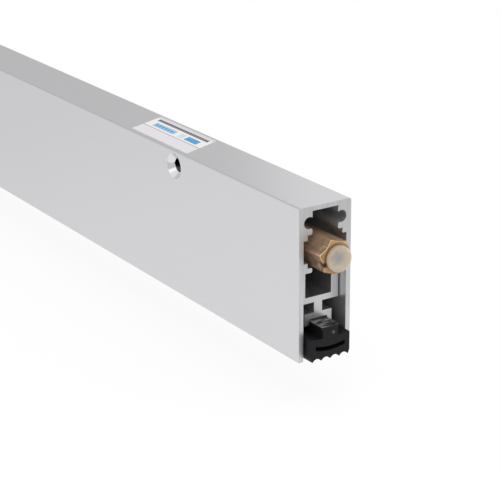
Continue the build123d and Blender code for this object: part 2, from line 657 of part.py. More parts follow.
# Rubber strip: head and neck in the channel, a cushion with a sagging slot, ridges below
head_half = lip_inside - SEAL_HEAD_CLEARANCE
neck_half = lip_inside - LIP_HOOK - SEAL_HEAD_CLEARANCE
head_bottom = LIP_BOTTOM + 2 * LIP_HOOK_HEIGHT + SEAL_HEAD_CLEARANCE
neck_top = LIP_BOTTOM + LIP_HOOK_HEIGHT + SEAL_HEAD_CLEARANCE
head_top = CHANNEL_CEILING - SEAL_HEAD_GAP
ridges_half = (RIDGE_COUNT - 1) * RIDGE_PITCH / 2
ridge_tips = [(i * RIDGE_PITCH - ridges_half, SEAL_BOTTOM) for i in range(RIDGE_COUNT)]
with BuildPart() as seal_strip:
    with BuildSketch(section_plane(-END_X - SEAL_STICK_OUT)) as seal_section:
        with BuildLine():
            for left_tip, right_tip in zip(ridge_tips, ridge_tips[1:]):
                valley_middle = ((left_tip[0] + right_tip[0]) / 2, SEAL_BOTTOM + VALLEY_DEPTH)
                ThreePointArc(left_tip, valley_middle, right_tip)
            Polyline(
                (ridges_half, SEAL_BOTTOM),
                (SEAL_WIDTH / 2, SEAL_BOTTOM + SEAL_BEVEL_HEIGHT),
                (SEAL_WIDTH / 2, SEAL_SHOULDER),
                (neck_half, SEAL_SHOULDER),
                (neck_half, neck_top),
                (head_half, head_bottom),
                (head_half, head_top),
                (-head_half, head_top),
                (-head_half, head_bottom),
                (-neck_half, neck_top),
                (-neck_half, SEAL_SHOULDER),
                (-SEAL_WIDTH / 2, SEAL_SHOULDER),
                (-SEAL_WIDTH / 2, SEAL_BOTTOM + SEAL_BEVEL_HEIGHT),
                (-ridges_half, SEAL_BOTTOM),
            )
        make_face()
        slot_height = SEAL_BODY_HEIGHT * CUSHION_SLOT_HEIGHT_SHARE
        slot_sag = SEAL_BODY_HEIGHT * CUSHION_SLOT_SAG_SHARE
        slot_floor = SEAL_BOTTOM + SEAL_BODY_HEIGHT * CUSHION_SLOT_MIDDLE_SHARE - slot_height / 2
        slot_half = SEAL_WIDTH / 2 - CUSHION_SLOT_MARGIN
        with BuildLine():
            slot_arcs = [
                ThreePointArc((-slot_half, arc + slot_sag), (0, arc), (slot_half, arc + slot_sag))
                for arc in (slot_floor, slot_floor + slot_height)
            ]
            Line(slot_arcs[0] @ 0, slot_arcs[1] @ 0)
            Line(slot_arcs[0] @ 1, slot_arcs[1] @ 1)
        make_face(mode=Mode.SUBTRACT)
        fillet(seal_section.face().inner_wires()[0].vertices(), CUSHION_SLOT_CORNER)
    extrude(amount=HOUSING_LENGTH + 2 * SEAL_STICK_OUT)
seal_strip.part.label = "seal_strip"
export_step(seal_strip.part, "parts/seal_strip.step")


# Carrier brackets and their rivets
for place, block_x in (("front", FRONT_BLOCK_X), ("rear", REAR_BLOCK_X)):
    lower_pin_x = block_x - BLOCK_LENGTH - EAR_SETBACK - REST_REACH
    foot_front_x = lower_pin_x - FOOT_SETBACK
    foot_middle_x = foot_front_x - FOOT_LENGTH / 2
    with BuildPart() as bracket:
        with BuildSketch(section_plane(foot_front_x - FOOT_LENGTH)):
            with Locations((0, FLOOR_HEIGHT)):
                Rectangle(
                    CARRIER_INNER_WIDTH - 2 * SLOT_CLEARANCE,
                    FOOT_HEIGHT,
                    align=(Align.CENTER, Align.MIN),
                )
        extrude(amount=FOOT_LENGTH)
        chamfer(bracket.edges().filter_by(Axis.X).group_by(Axis.Z)[-1], ROD_END_CHAMFER)
        with BuildSketch(side_plane()):
            with Locations((foot_front_x, FLOOR_HEIGHT)):
                Rectangle(
                    2 * FOOT_SETBACK, BRACKET_EAR_HEIGHT, align=(Align.CENTER, Align.MIN)
                )
            with Locations((lower_pin_x, FLOOR_HEIGHT + BRACKET_EAR_HEIGHT / 2)):
                Circle(BRACKET_EAR_HEIGHT / 2)
        extrude(amount=EAR_WIDTH / 2, both=True)
        with BuildSketch(side_plane()):
            pin_slot_height = PIN_DIAMETER + PIN_SINK + 2 * FACE_CLEARANCE
            with Locations((lower_pin_x - PIN_DRIFT / 2, LOWER_PIN_HEIGHT - PIN_SINK / 2)):
                SlotCenterToCenter(PIN_DRIFT, pin_slot_height)
        extrude(amount=EAR_WIDTH, both=True, mode=Mode.SUBTRACT)
        with BuildSketch(side_plane()):
            with Locations((foot_middle_x, RIVET_HEIGHT)):
                with GridLocations(RIVET_SPACING, 0, 2, 1):
                    Circle(RIVET_DIAMETER / 2 + SEATED_CLEARANCE)
        extrude(amount=CARRIER_INNER_WIDTH, both=True, mode=Mode.SUBTRACT)
    bracket.part.label = f"{place}_bracket"
    export_step(bracket.part, f"parts/{place}_bracket.step")

    with BuildPart() as rivets:
        head_face = CARRIER_WIDTH / 2 - SEATED_CLEARANCE
        head_depth = sink_depth(RIVET_HEAD_DIAMETER, RIVET_DIAMETER)
        for rivet_x in (foot_middle_x - RIVET_SPACING / 2, foot_middle_x + RIVET_SPACING / 2):
            with BuildSketch(pin_plane(rivet_x, RIVET_HEIGHT)):
                with BuildLine():
                    Polyline(
                        (-head_face, 0),
                        (-head_face, RIVET_HEAD_DIAMETER / 2),
                        (head_depth - head_face, RIVET_DIAMETER / 2),
                        (head_face - head_depth, RIVET_DIAMETER / 2),
                        (head_face, RIVET_HEAD_DIAMETER / 2),
                        (head_face, 0),
                        close=True,
                    )
                make_face()
            revolve(axis=pin_axis(rivet_x, RIVET_HEIGHT))
    rivets.part.label = f"{place}_bracket_rivets"
    export_step(rivets.part, f"parts/{place}_bracket_rivets.step")
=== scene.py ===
"""Looks of an automatic door bottom seal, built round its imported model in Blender.

X runs along the door with the plunger at +X, Y from the room to the door, Z up.
Sizes of the object are in millimetres, and those of the studio round it in metres.
"""

from __future__ import annotations

import logging
import math
from collections.abc import Sequence
from dataclasses import dataclass
from enum import Enum

import bpy
from mathutils import Matrix, Vector
from mathutils.geometry import tessellate_polygon


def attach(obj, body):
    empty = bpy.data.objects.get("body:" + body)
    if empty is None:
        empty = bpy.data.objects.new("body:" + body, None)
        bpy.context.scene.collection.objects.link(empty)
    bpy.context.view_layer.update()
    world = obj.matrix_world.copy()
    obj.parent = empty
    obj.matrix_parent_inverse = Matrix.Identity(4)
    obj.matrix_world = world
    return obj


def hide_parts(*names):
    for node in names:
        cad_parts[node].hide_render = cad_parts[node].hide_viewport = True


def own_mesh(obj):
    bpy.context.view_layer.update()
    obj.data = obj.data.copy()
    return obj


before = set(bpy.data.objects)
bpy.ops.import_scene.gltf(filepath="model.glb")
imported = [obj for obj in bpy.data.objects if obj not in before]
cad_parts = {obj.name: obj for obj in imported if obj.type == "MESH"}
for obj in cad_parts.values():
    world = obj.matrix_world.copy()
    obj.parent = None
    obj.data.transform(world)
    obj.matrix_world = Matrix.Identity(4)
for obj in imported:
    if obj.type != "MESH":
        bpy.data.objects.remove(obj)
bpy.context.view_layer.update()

LOG = logging.getLogger("door_bottom_seal")
MM = 0.001
# Layers of finer noise in every pattern
OCTAVES = 3.0

Point = tuple[float, float]
Point3 = tuple[float, float, float]
Colour = tuple[float, float, float, float]
Face = tuple[int, ...]


def linear(hex_code: str) -> Colour:
    """Turn an sRGB colour into linear light.

    Args:
        hex_code: The colour as "#RRGGBB".

    Returns:
        Red, green and blue in linear light, and an alpha of 1.
    """
    shares = [int(hex_code[at : at + 2], 16) / 255 for at in (1, 3, 5)]
    light = [s / 12.92 if s <= 0.04045 else ((s + 0.055) / 1.055) ** 2.4 for s in shares]
    return light[0], light[1], light[2], 1.0


WHITE = linear("#FFFFFF")


def add_node(
    tree: bpy.types.NodeTree,
    kind: str,
    settings: dict[str, object] | None = None,
    inputs: dict[int | str, object] | None = None,
    into: bpy.types.NodeSocket | None = None,
) -> bpy.types.NodeSocket:
    """Add a node with its settings and links.

    Inputs go by number where a node has several of one name. A MapRange takes its limits at 1
    to 4, a Mix of colours takes them at 6 and 7, and a Mix of numbers takes them at 2 and 3.

    Args:
        tree: The node tree that gets the node.
        kind: Blender's type name without its leading "ShaderNode".
        settings: Properties of the node, by name.
        inputs: Values, or output sockets to link, by the input's name or number.
        into: A socket that the node's result is linked to.

    Returns:
        The first output that the settings leave in use, or the first input if it has none.
    """
    node = tree.nodes.new("ShaderNode" + kind)
    for name, value in (settings or {}).items():
        setattr(node, name, value)
    for name, value in (inputs or {}).items():
        if isinstance(value, bpy.types.NodeSocket):
            tree.links.new(value, node.inputs[name])
        else:
            node.inputs[name].default_value = value
    result = next((socket for socket in node.outputs if socket.enabled), None)
    if result is None:
        return node.inputs[0]
    if into is not None:
        tree.links.new(result, into)
    return result


class Body(Enum):
    """The moving bodies that pieces ride on."""

    PUSH = "push_body"
    TIP = "tip_body"
    ADJUSTER = "adjuster_body"
    CARRIER = "carrier_body"


class Place(Enum):
    """The two link sets along the door."""

    FRONT = "front"
    REAR = "rear"


@dataclass(frozen=True)
class Finish:
    """A surface finish, which makes its own material."""

    name: str
    colour: str
    metallic: float
    roughness: float

    def material(self) -> bpy.types.Material:
        """Make the material, or find it if it was made before.

        Returns:
            The material of this finish.
        """
        made = bpy.data.materials.get(self.name)
        if made is not None:
            return made
        made = bpy.data.materials.new(self.name)
        made.use_nodes = True
        tree = made.node_tree
        shader = tree.nodes["Principled BSDF"]
        shader.inputs["Base Color"].default_value = linear(self.colour)
        shader.inputs["Metallic"].default_value = self.metallic
        shader.inputs["Roughness"].default_value = self.roughness
        self.detail(tree, shader)
        return made

    def detail(self, tree: bpy.types.NodeTree, shader: bpy.types.Node) -> None:
        """Add what the finish shows up close.

        Args:
            tree: The material's node tree.
            shader: Its surface shader.
        """
        raise NotImplementedError

    def spot(self, tree: bpy.types.NodeTree, stretch: Point3 = (1, 1, 1)) -> bpy.types.NodeSocket:
        """Give the place on the piece in millimetres.

        Args:
            tree: The material's node tree.
            stretch: Scale along each axis, where under 1 draws a pattern out along it.

        Returns:
            The socket with the place.
        """
        at = add_node(tree, "TexCoord").node.outputs["Object"]
        scale = [s / MM for s in stretch]
        return add_node(tree, "VectorMath", {"operation": "MULTIPLY"}, {0: at, 1: scale})


@dataclass(frozen=True)
class AnodisedExtrusion(Finish):
    """Aluminium, extruded, etched and clear anodised, then sawn to length.

    The etch gives the eye a soft milky sheen, and the die leaves faint lines along the bar. The
    rounded top corners get a darker grey that is painted shade, and the sawn ends and drilled
    sinks show bare metal.
    """

    bare_colour: str = "#DCDCDD"
    shade_colour: str = "#B4B4B6"
    # A darker grey, painted along the rounded top corners as shade
    corner_shade_colour: str = "#CDCDCF"
    sink_colour: str = "#DEDEDF"
    # Etch pits are about 0.02 mm wide, and are drawn coarser so that they show
    etch_mm: float = 0.25
    # Die lines are about 0.1 mm apart, and are drawn coarser so that they show
    die_line_mm: float = 0.8
    die_stretch: Point3 = (0.01, 1.0, 1.0)
    # Saw marks are about 0.1 mm apart, and are drawn coarser so that they show
    saw_line_mm: float = 0.5
    saw_stretch: Point3 = (1.0, 1.0, 0.04)
    sink_floor_y_mm: float = -13.4
    roof_edge_z_mm: float = 18.9
    # How far a face leans towards an axis: 1 for one that looks along it
    end_tilt: float = 0.9
    sink_tilt: float = 0.7
    shaded_corner_tilt: float = 0.85
    tilt_reach: float = 0.12
    milk: float = 0.12
    milk_limits: Point = (0.3, 0.7)
    uneven: float = 0.03
    sawn_roughness: float = 0.35
    sink_roughness: float = 0.09
    relief_mm: float = 0.003

    def regions(self, tree: bpy.types.NodeTree) -> tuple[bpy.types.NodeSocket, ...]:
        """Find the sawn ends, the turned sinks and the rounded top corners of painted shade.

        Args:
            tree: The material's node tree.

        Returns:
            A mask of each, which is 1 on it.
        """
        facing = add_node(tree, "TexCoord").node.outputs["Normal"]
        tilt = add_node(tree, "VectorMath", {"operation": "ABSOLUTE"}, {0: facing})
        tilt_x, tilt_y, tilt_z = add_node(tree, "SeparateXYZ", None, {0: tilt}).node.outputs
        place = add_node(tree, "SeparateXYZ", None, {0: self.spot(tree)}).node.outputs

        sawn = add_node(tree, "Math", {"operation": "GREATER_THAN"}, {0: tilt_x, 1: self.end_tilt})
        limits = {0: tilt_y, 1: self.sink_tilt, 2: self.tilt_reach}
        steep = add_node(tree, "Math", {"operation": "COMPARE"}, limits)
        limits = {0: place["Y"], 1: self.sink_floor_y_mm}
        outside = add_node(tree, "Math", {"operation": "LESS_THAN"}, limits)
        limits = {0: place["Z"], 1: self.roof_edge_z_mm}
        above = add_node(tree, "Math", {"operation": "GREATER_THAN"}, limits)
        outer = add_node(tree, "Math", {"operation": "MULTIPLY"}, {0: steep, 1: outside})
        clamped = {"operation": "SUBTRACT", "use_clamp": True}
        cone = add_node(tree, "Math", clamped, {0: outer, 1: above})
        # The rounded top corners, where a darker grey is painted as shade
        limits = {0: tilt_z, 1: self.shaded_corner_tilt, 2: self.tilt_reach}
        turning = add_node(tree, "Math", {"operation": "COMPARE"}, limits)
        corner = add_node(tree, "Math", {"operation": "MULTIPLY"}, {0: turning, 1: above})
        return sawn, cone, corner

    def detail(self, tree: bpy.types.NodeTree, shader: bpy.types.Node) -> None:
        """Add the etch, die lines, painted shade on the top corners, sawn ends and turned sinks.

        Args:
            tree: The material's node tree.
            shader: Its surface shader.
        """
        sawn, cone, corner = self.regions(tree)
        grains = {"Vector": self.spot(tree), "Scale": 1 / self.etch_mm, "Detail": OCTAVES}
        etch = add_node(tree, "TexNoise", None, grains)
        drawn = self.spot(tree, self.die_stretch)
        grains = {"Vector": drawn, "Scale": 1 / self.die_line_mm, "Detail": OCTAVES}
        die = add_node(tree, "TexNoise", None, grains)
        drawn = self.spot(tree, self.saw_stretch)
        grains = {"Vector": drawn, "Scale": 1 / self.saw_line_mm, "Detail": OCTAVES}
        saw = add_node(tree, "TexNoise", None, grains)

        low, high = self.milk_limits
        limits = {0: die, 1: low, 2: high, 3: 0.0, 4: self.milk}
        share = add_node(tree, "MapRange", None, limits)
        bare = linear(self.bare_colour)
        layers = {0: share, 6: linear(self.colour), 7: bare}
        etched = add_node(tree, "Mix", {"data_type": "RGBA"}, layers)
        # Painted shade: the rounded top corners take the darker grey
        layers = {0: corner, 6: etched, 7: linear(self.corner_shade_colour)}
        skin = add_node(tree, "Mix", {"data_type": "RGBA"}, layers)
        layers = {0: saw, 6: linear(self.shade_colour), 7: bare}
        cut = add_node(tree, "Mix", {"data_type": "RGBA"}, layers)
        layers = {0: sawn, 6: skin, 7: cut}
        solid = add_node(tree, "Mix", {"data_type": "RGBA"}, layers)
        layers = {0: cone, 6: solid, 7: linear(self.sink_colour)}
        add_node(tree, "Mix", {"data_type": "RGBA"}, layers, into=shader.inputs["Base Color"])
        limits = {0: cone, 3: self.metallic, 4: 1.0}
        add_node(tree, "MapRange", None, limits, into=shader.inputs["Metallic"])

        limits = {0: etch, 3: self.roughness - self.uneven, 4: self.roughness + self.uneven}
        etched_gloss = add_node(tree, "MapRange", None, limits)
        levels = {0: sawn, 2: etched_gloss, 3: self.sawn_roughness}
        solid_gloss = add_node(tree, "Mix", {"data_type": "FLOAT"}, levels)
        levels = {0: cone, 2: solid_gloss, 3: self.sink_roughness}
        add_node(tree, "Mix", {"data_type": "FLOAT"}, levels, into=shader.inputs["Roughness"])
        marks = add_node(tree, "Mix", {"data_type": "FLOAT"}, {0: sawn, 2: die, 3: saw})
        rise = {"Distance": self.relief_mm * MM, "Height": marks}
        add_node(tree, "Bump", None, rise, into=shader.inputs["Normal"])


@dataclass(frozen=True)
class MachinedBrass(Finish):
    """Brass, drawn to a hexagon bar and turned at its front.

    The drawn flats are brown and streaky where they have tarnished, darker low down and lighter
    higher up, and lighter towards the rear with painted light that lifts the housing's shade.
    Their ridges are lighter with painted highlight and rubbing, and a ring of painted reflection
    shows the housing's end. The turned chamfer is a deeper gold, with a painted highlight
    where it starts and painted shade low down.
    """

    turned_colour: str = "#AC8A64"
    tarnish_colour: str = "#6C5543"
    # Painted highlight on the ridges, with rubbing, and a painted reflection in the ring
    highlight_and_rubbed_colour: str = "#DCB89C"
    # Painted highlight, near white gold, on the bevel where the chamfer starts
    burr_highlight_colour: str = "#FFDCA0"
    # Painted shade: a dark brown spot low on the chamfer
    stain_and_shade_colour: str = "#4A2A10"
    axis_mm: Point = (-7.5, 7.4)
    # The flats are darker low on the bar and lighter higher up, over this height each way
    # from its axis
    upward_lightening_mm: float = 5.0
    upward_lightening_low: float = -0.5
    upward_lightening_high: float = 0.3
    ridge_start_mm: float = 4.42
    ridge_radius_mm: float = 4.52
    # Drawing marks are about 0.05 mm wide, and are drawn coarser so that they show
    streak_mm: float = 0.35
    streak_stretch: Point3 = (0.06, 1.0, 1.0)
    # Clouds of tarnish are about a millimetre across, as drawn
    cloud_mm: float = 1.3
    wear_limits: Point = (0.7, 1.55)
    # Painted light, lighter towards the rear, lifts the shade that the housing casts there
    shade_lift_x_mm: Point = (166.0, 171.5)
    shade_lift_share: float = 0.35
    # A painted reflection of the housing's bright end, as a light ring round the flats
    reflection_ring_x_mm: float = 170.4
    reflection_ring_half_mm: float = 0.25
    reflection_ring_share: float = 0.6
    shade_spot_at_mm: Point3 = (171.9, -11.1, 6.2)
    shade_spot_radius_mm: float = 1.0
    turned_tilt: Point = (0.3, 0.6)
    burr_highlight_tilt: float = 0.32
    burr_highlight_reach: float = 0.2
    turned_metallic: float = 0.75
    turned_roughness: float = 0.3
    relief_mm: float = 0.003

    def highlight_and_rubbing(
        self, tree: bpy.types.NodeTree, spot: bpy.types.NodeSocket
    ) -> bpy.types.NodeSocket:
        """Find the ridges of painted highlight and rubbing, and the ring of painted reflection.

        Args:
            tree: The material's node tree.
            spot: The place on the piece in millimetres.

        Returns:
            A mask, which is 1 on the ridges and in the ring.
        """
        section = {0: self.spot(tree, (0, 1, 1)), 1: (0, *self.axis_mm)}
        out = add_node(tree, "VectorMath", {"operation": "DISTANCE"}, section)
        limits = {0: out, 1: self.ridge_start_mm, 2: self.ridge_radius_mm}
        ridge = add_node(tree, "MapRange", None, limits)
        # The ring of painted reflection, where the flats face the housing's bright end
        along = add_node(tree, "SeparateXYZ", None, {0: spot})
        offset = add_node(tree, "Math", {"operation": "SUBTRACT"}, {0: along, 1: self.reflection_ring_x_mm})
        apart = add_node(tree, "Math", {"operation": "ABSOLUTE"}, {0: offset})
        limits = {0: apart, 1: self.reflection_ring_half_mm, 2: 0.0, 3: 0.0, 4: self.reflection_ring_share}
        ring = add_node(tree, "MapRange", {"interpolation_type": "SMOOTHSTEP"}, limits)
        return add_node(tree, "Math", {"operation": "MAXIMUM"}, {0: ridge, 1: ring})

    def clean_and_lit(
        self,
        tree: bpy.types.NodeTree,
        spot: bpy.types.NodeSocket,
        streaks: bpy.types.NodeSocket,
    ) -> bpy.types.NodeSocket:
        """Find where the flats are lighter: clean in streaks and clouds, higher up, and towards
        the rear with painted light that lifts the housing's shade.

        Args:
            tree: The material's node tree.
            spot: The place on the piece in millimetres.
            streaks: The pattern of the drawing marks.

        Returns:
            A mask, which is 1 where the flats are lightest.
        """
        place = add_node(tree, "SeparateXYZ", None, {0: spot}).node.outputs
        grains = {"Vector": spot, "Scale": 1 / self.cloud_mm, "Detail": OCTAVES}
        clouds = add_node(tree, "TexNoise", None, grains)
        middle, reach = self.axis_mm[1], self.upward_lightening_mm
        limits = {0: place["Z"], 1: middle - reach, 2: middle + reach}
        limits |= {3: self.upward_lightening_low, 4: self.upward_lightening_high}
        higher = add_node(tree, "MapRange", None, limits)
        # Painted light towards the rear, where the housing's shade falls on the flats
        rear, front = self.shade_lift_x_mm
        limits = {0: place["X"], 1: rear, 2: front, 3: self.shade_lift_share, 4: 0.0}
        shade_lift = add_node(tree, "MapRange", None, limits)
        patches = streaks
        for share in (clouds, higher, shade_lift):
            patches = add_node(tree, "Math", {"operation": "ADD"}, {0: patches, 1: share})
        low, high = self.wear_limits
        return add_node(tree, "MapRange", None, {0: patches, 1: low, 2: high})

    def detail(self, tree: bpy.types.NodeTree, shader: bpy.types.Node) -> None:
        """Add the drawn streaks, the tarnish, the turned chamfer, and the painted light,
        highlight, reflection and shade.

        Args:
            tree: The material's node tree.
            shader: Its surface shader.
        """
        facing = add_node(tree, "TexCoord").node.outputs["Normal"]
        tilt = add_node(tree, "SeparateXYZ", None, {0: facing})
        low, high = self.turned_tilt
        turned = add_node(tree, "MapRange", None, {0: tilt, 1: low, 2: high})
        # Painted highlight on the bevel where the chamfer starts
        limits = {0: tilt, 1: self.burr_highlight_tilt, 2: self.burr_highlight_reach}
        burr = add_node(tree, "Math", {"operation": "COMPARE"}, limits)
        spot = self.spot(tree)
        # Painted shade, as a dark brown spot low on the chamfer
        middle = {0: spot, 1: self.shade_spot_at_mm}
        away = add_node(tree, "VectorMath", {"operation": "DISTANCE"}, middle)
        limits = {0: away, 1: self.shade_spot_radius_mm, 2: self.shade_spot_radius_mm / 2, 3: 0.0, 4: 1.0}
        shade_spot = add_node(tree, "MapRange", {"interpolation_type": "SMOOTHSTEP"}, limits)
        drawn = self.spot(tree, self.streak_stretch)
        grains = {"Vector": drawn, "Scale": 1 / self.streak_mm, "Detail": OCTAVES}
        streaks = add_node(tree, "TexNoise", None, grains)

        colour: Colour | bpy.types.NodeSocket = linear(self.tarnish_colour)
        for share, over in (
            (self.clean_and_lit(tree, spot, streaks), self.colour),
            (self.highlight_and_rubbing(tree, spot), self.highlight_and_rubbed_colour),
            (turned, self.turned_colour),
            (burr, self.burr_highlight_colour),
            (shade_spot, self.stain_and_shade_colour),
        ):
            layers = {0: share, 6: colour, 7: linear(over)}
            colour = add_node(tree, "Mix", {"data_type": "RGBA"}, layers)
        tree.links.new(colour, shader.inputs["Base Color"])
        limits = {0: turned, 3: self.metallic, 4: self.turned_metallic}
        add_node(tree, "MapRange", None, limits, into=shader.inputs["Metallic"])
        limits = {0: turned, 3: self.roughness, 4: self.turned_roughness}
        add_node(tree, "MapRange", None, limits, into=shader.inputs["Roughness"])
        rise = {"Distance": self.relief_mm * MM, "Height": streaks}
        add_node(tree, "Bump", None, rise, into=shader.inputs["Normal"])


@dataclass(frozen=True)
class MouldedNylon(Finish):
    """Natural nylon, injection moulded: milky, with light that soaks in and a soft gloss."""

    # Painted shade: a darker blue grey in the middle of the translucent dome
    core_shade_colour: str = "#88898F"
    core_shade_at_mm: Point = (-8.6, 8.2)
    core_shade_radius_mm: float = 2.4
    core_shade_share: float = 0.75
    soak_mm: float = 1.2
    soak: float = 0.35
    # Red light soaks in furthest
    soak_of_colours: Point3 = (1.0, 0.8, 0.6)
    ior: float = 1.53
    # The flow into the mould leaves mottling of about a millimetre, as drawn
    mottle_mm: float = 1.1
    mottle_share: float = 0.3
    relief_mm: float = 0.012

    def detail(self, tree: bpy.types.NodeTree, shader: bpy.types.Node) -> None:
        """Add the soaking light, painted grey shade in the middle of the dome, and a moulded skin.

        Args:
            tree: The material's node tree.
            shader: Its surface shader.
        """
        shader.inputs["Subsurface Weight"].default_value = self.soak
        shader.inputs["Subsurface Radius"].default_value = self.soak_of_colours
        shader.inputs["Subsurface Scale"].default_value = self.soak_mm * MM
        shader.inputs["IOR"].default_value = self.ior
        # Painted shade in the middle of the dome
        middle = {0: self.spot(tree, (0, 1, 1)), 1: (0, *self.core_shade_at_mm)}
        away = add_node(tree, "VectorMath", {"operation": "DISTANCE"}, middle)
        limits = {0: away, 1: self.core_shade_radius_mm, 2: 0.0, 3: 0.0, 4: self.core_shade_share}
        core_shade = add_node(tree, "MapRange", {"interpolation_type": "SMOOTHSTEP"}, limits)
        grains = {"Vector": self.spot(tree), "Scale": 1 / self.mottle_mm, "Detail": OCTAVES}
        mottle = add_node(tree, "TexNoise", None, grains)
        layers = {0: self.mottle_share, 6: linear(self.colour), 7: mottle}
        soft_light = {"data_type": "RGBA", "blend_type": "SOFT_LIGHT"}
        mottled = add_node(tree, "Mix", soft_light, layers)
        layers = {0: core_shade, 6: mottled, 7: linear(self.core_shade_colour)}
        add_node(tree, "Mix", {"data_type": "RGBA"}, layers, into=shader.inputs["Base Color"])
        rise = {"Distance": self.relief_mm * MM, "Height": mottle}
        add_node(tree, "Bump", None, rise, into=shader.inputs["Normal"])


@dataclass(frozen=True)
class ExtrudedRubber(Finish):
    """Black rubber, extruded: satin and near black, with fine lines, dust and painted sheen."""

    # Dust, with painted sheen where the head's top faces up
    bloom_and_sheen_colour: str = "#878485"
    gloss: float = 0.2
    # Pores are about 0.05 mm wide, and are drawn coarser so that they show
    pore_mm: float = 0.25
    # Die lines are about 0.1 mm apart, and are drawn coarser so that they show
    line_mm: float = 0.35
    line_stretch: Point3 = (0.02, 1.0, 1.0)
    # Dust and painted sheen lie on top of the strip's head, in patches about a millimetre
    # across, as drawn
    bloom_and_sheen_mm: float = 0.9
    bloom_and_sheen_stretch: Point3 = (1.0, 0.25, 1.0)
    bloom_and_sheen_limits: Point = (0.42, 0.62)
    bloom_and_sheen_tilt: Point = (0.6, 0.95)
    bloom_and_sheen_z_mm: Point = (-12.0, -11.0)
    smudge_at_mm: Point3 = (170.05, -6.66, -12.4)
    smudge_radius_mm: float = 0.6
    smudge_share: float = 0.55
    uneven: float = 0.1
    relief_mm: float = 0.02

    def detail(self, tree: bpy.types.NodeTree, shader: bpy.types.Node) -> None:
        """Add the pores, die lines, dust and painted sheen on top, and a smudge on the cut end.

        Args:
            tree: The material's node tree.
            shader: Its surface shader.
        """
        shader.inputs["Specular IOR Level"].default_value = self.gloss
        facing = add_node(tree, "TexCoord").node.outputs["Normal"]
        up = add_node(tree, "SeparateXYZ", None, {0: facing}).node.outputs["Z"]
        spot = self.spot(tree)
        height = add_node(tree, "SeparateXYZ", None, {0: spot}).node.outputs["Z"]
        grains = {"Vector": spot, "Scale": 1 / self.pore_mm, "Detail": OCTAVES}
        pores = add_node(tree, "TexNoise", None, grains)
        drawn = self.spot(tree, self.line_stretch)
        grains = {"Vector": drawn, "Scale": 1 / self.line_mm, "Detail": OCTAVES}
        lines = add_node(tree, "TexNoise", None, grains)
        drawn = self.spot(tree, self.bloom_and_sheen_stretch)
        grains = {"Vector": drawn, "Scale": 1 / self.bloom_and_sheen_mm, "Detail": OCTAVES}
        patches = add_node(tree, "TexNoise", None, grains)
        # Dust and painted sheen, lighter where the head's top faces up
        bloom_and_sheen: float | bpy.types.NodeSocket = 1.0
        for value, (low, high) in (
            (patches, self.bloom_and_sheen_limits),
            (up, self.bloom_and_sheen_tilt),
            (height, self.bloom_and_sheen_z_mm),
        ):
            share = add_node(tree, "MapRange", None, {0: value, 1: low, 2: high})
            bloom_and_sheen = add_node(tree, "Math", {"operation": "MULTIPLY"}, {0: bloom_and_sheen, 1: share})
        middle = {0: spot, 1: self.smudge_at_mm}
        away = add_node(tree, "VectorMath", {"operation": "DISTANCE"}, middle)
        limits = {0: away, 1: self.smudge_radius_mm, 2: 0.0, 3: 0.0, 4: self.smudge_share}
        smudge = add_node(tree, "MapRange", {"interpolation_type": "SMOOTHSTEP"}, limits)
        dust_and_sheen = add_node(tree, "Math", {"operation": "MAXIMUM"}, {0: bloom_and_sheen, 1: smudge})
        layers = {0: dust_and_sheen, 6: linear(self.colour), 7: linear(self.bloom_and_sheen_colour)}
        add_node(tree, "Mix", {"data_type": "RGBA"}, layers, into=shader.inputs["Base Color"])
        limits = {0: pores, 3: self.roughness - self.uneven, 4: self.roughness}
        add_node(tree, "MapRange", None, limits, into=shader.inputs["Roughness"])
        raised = add_node(tree, "Math", {"operation": "ADD"}, {0: pores, 1: lines})
        rise = {"Distance": self.relief_mm * MM, "Height": raised}
        add_node(tree, "Bump", None, rise, into=shader.inputs["Normal"])


@dataclass(frozen=True)
class DrawnMetal(Finish):
    """Plated steel or aluminium, drawn or rolled: a cool grey with streaks along its length."""

    stain_and_shade_colour: str = "#6E7073"
    # Drawing marks are about 0.05 mm wide, and are drawn coarser so that they show
    streak_mm: float = 0.12
    streak_stretch: Point3 = (0.05, 1.0, 1.0)
    # Clouds in the plating are about two millimetres across, as drawn
    cloud_mm: float = 2.2
    uneven: float = 0.1
    relief_mm: float = 0.003

    def detail(self, tree: bpy.types.NodeTree, shader: bpy.types.Node) -> None:
        """Add the streaks and the cloudy surface.

        Args:
            tree: The material's node tree.
            shader: Its surface shader.
        """
        drawn = self.spot(tree, self.streak_stretch)
        grains = {"Vector": drawn, "Scale": 1 / self.streak_mm, "Detail": OCTAVES}
        streaks = add_node(tree, "TexNoise", None, grains)
        grains = {"Vector": self.spot(tree), "Scale": 1 / self.cloud_mm, "Detail": OCTAVES}
        clouds = add_node(tree, "TexNoise", None, grains)
        layers = {0: clouds, 6: linear(self.stain_and_shade_colour), 7: linear(self.colour)}
        add_node(tree, "Mix", {"data_type": "RGBA"}, layers, into=shader.inputs["Base Color"])
        limits = {0: clouds, 3: self.roughness + self.uneven, 4: self.roughness}
        add_node(tree, "MapRange", None, limits, into=shader.inputs["Roughness"])
        rise = {"Distance": self.relief_mm * MM, "Height": streaks}
        add_node(tree, "Bump", None, rise, into=shader.inputs["Normal"])


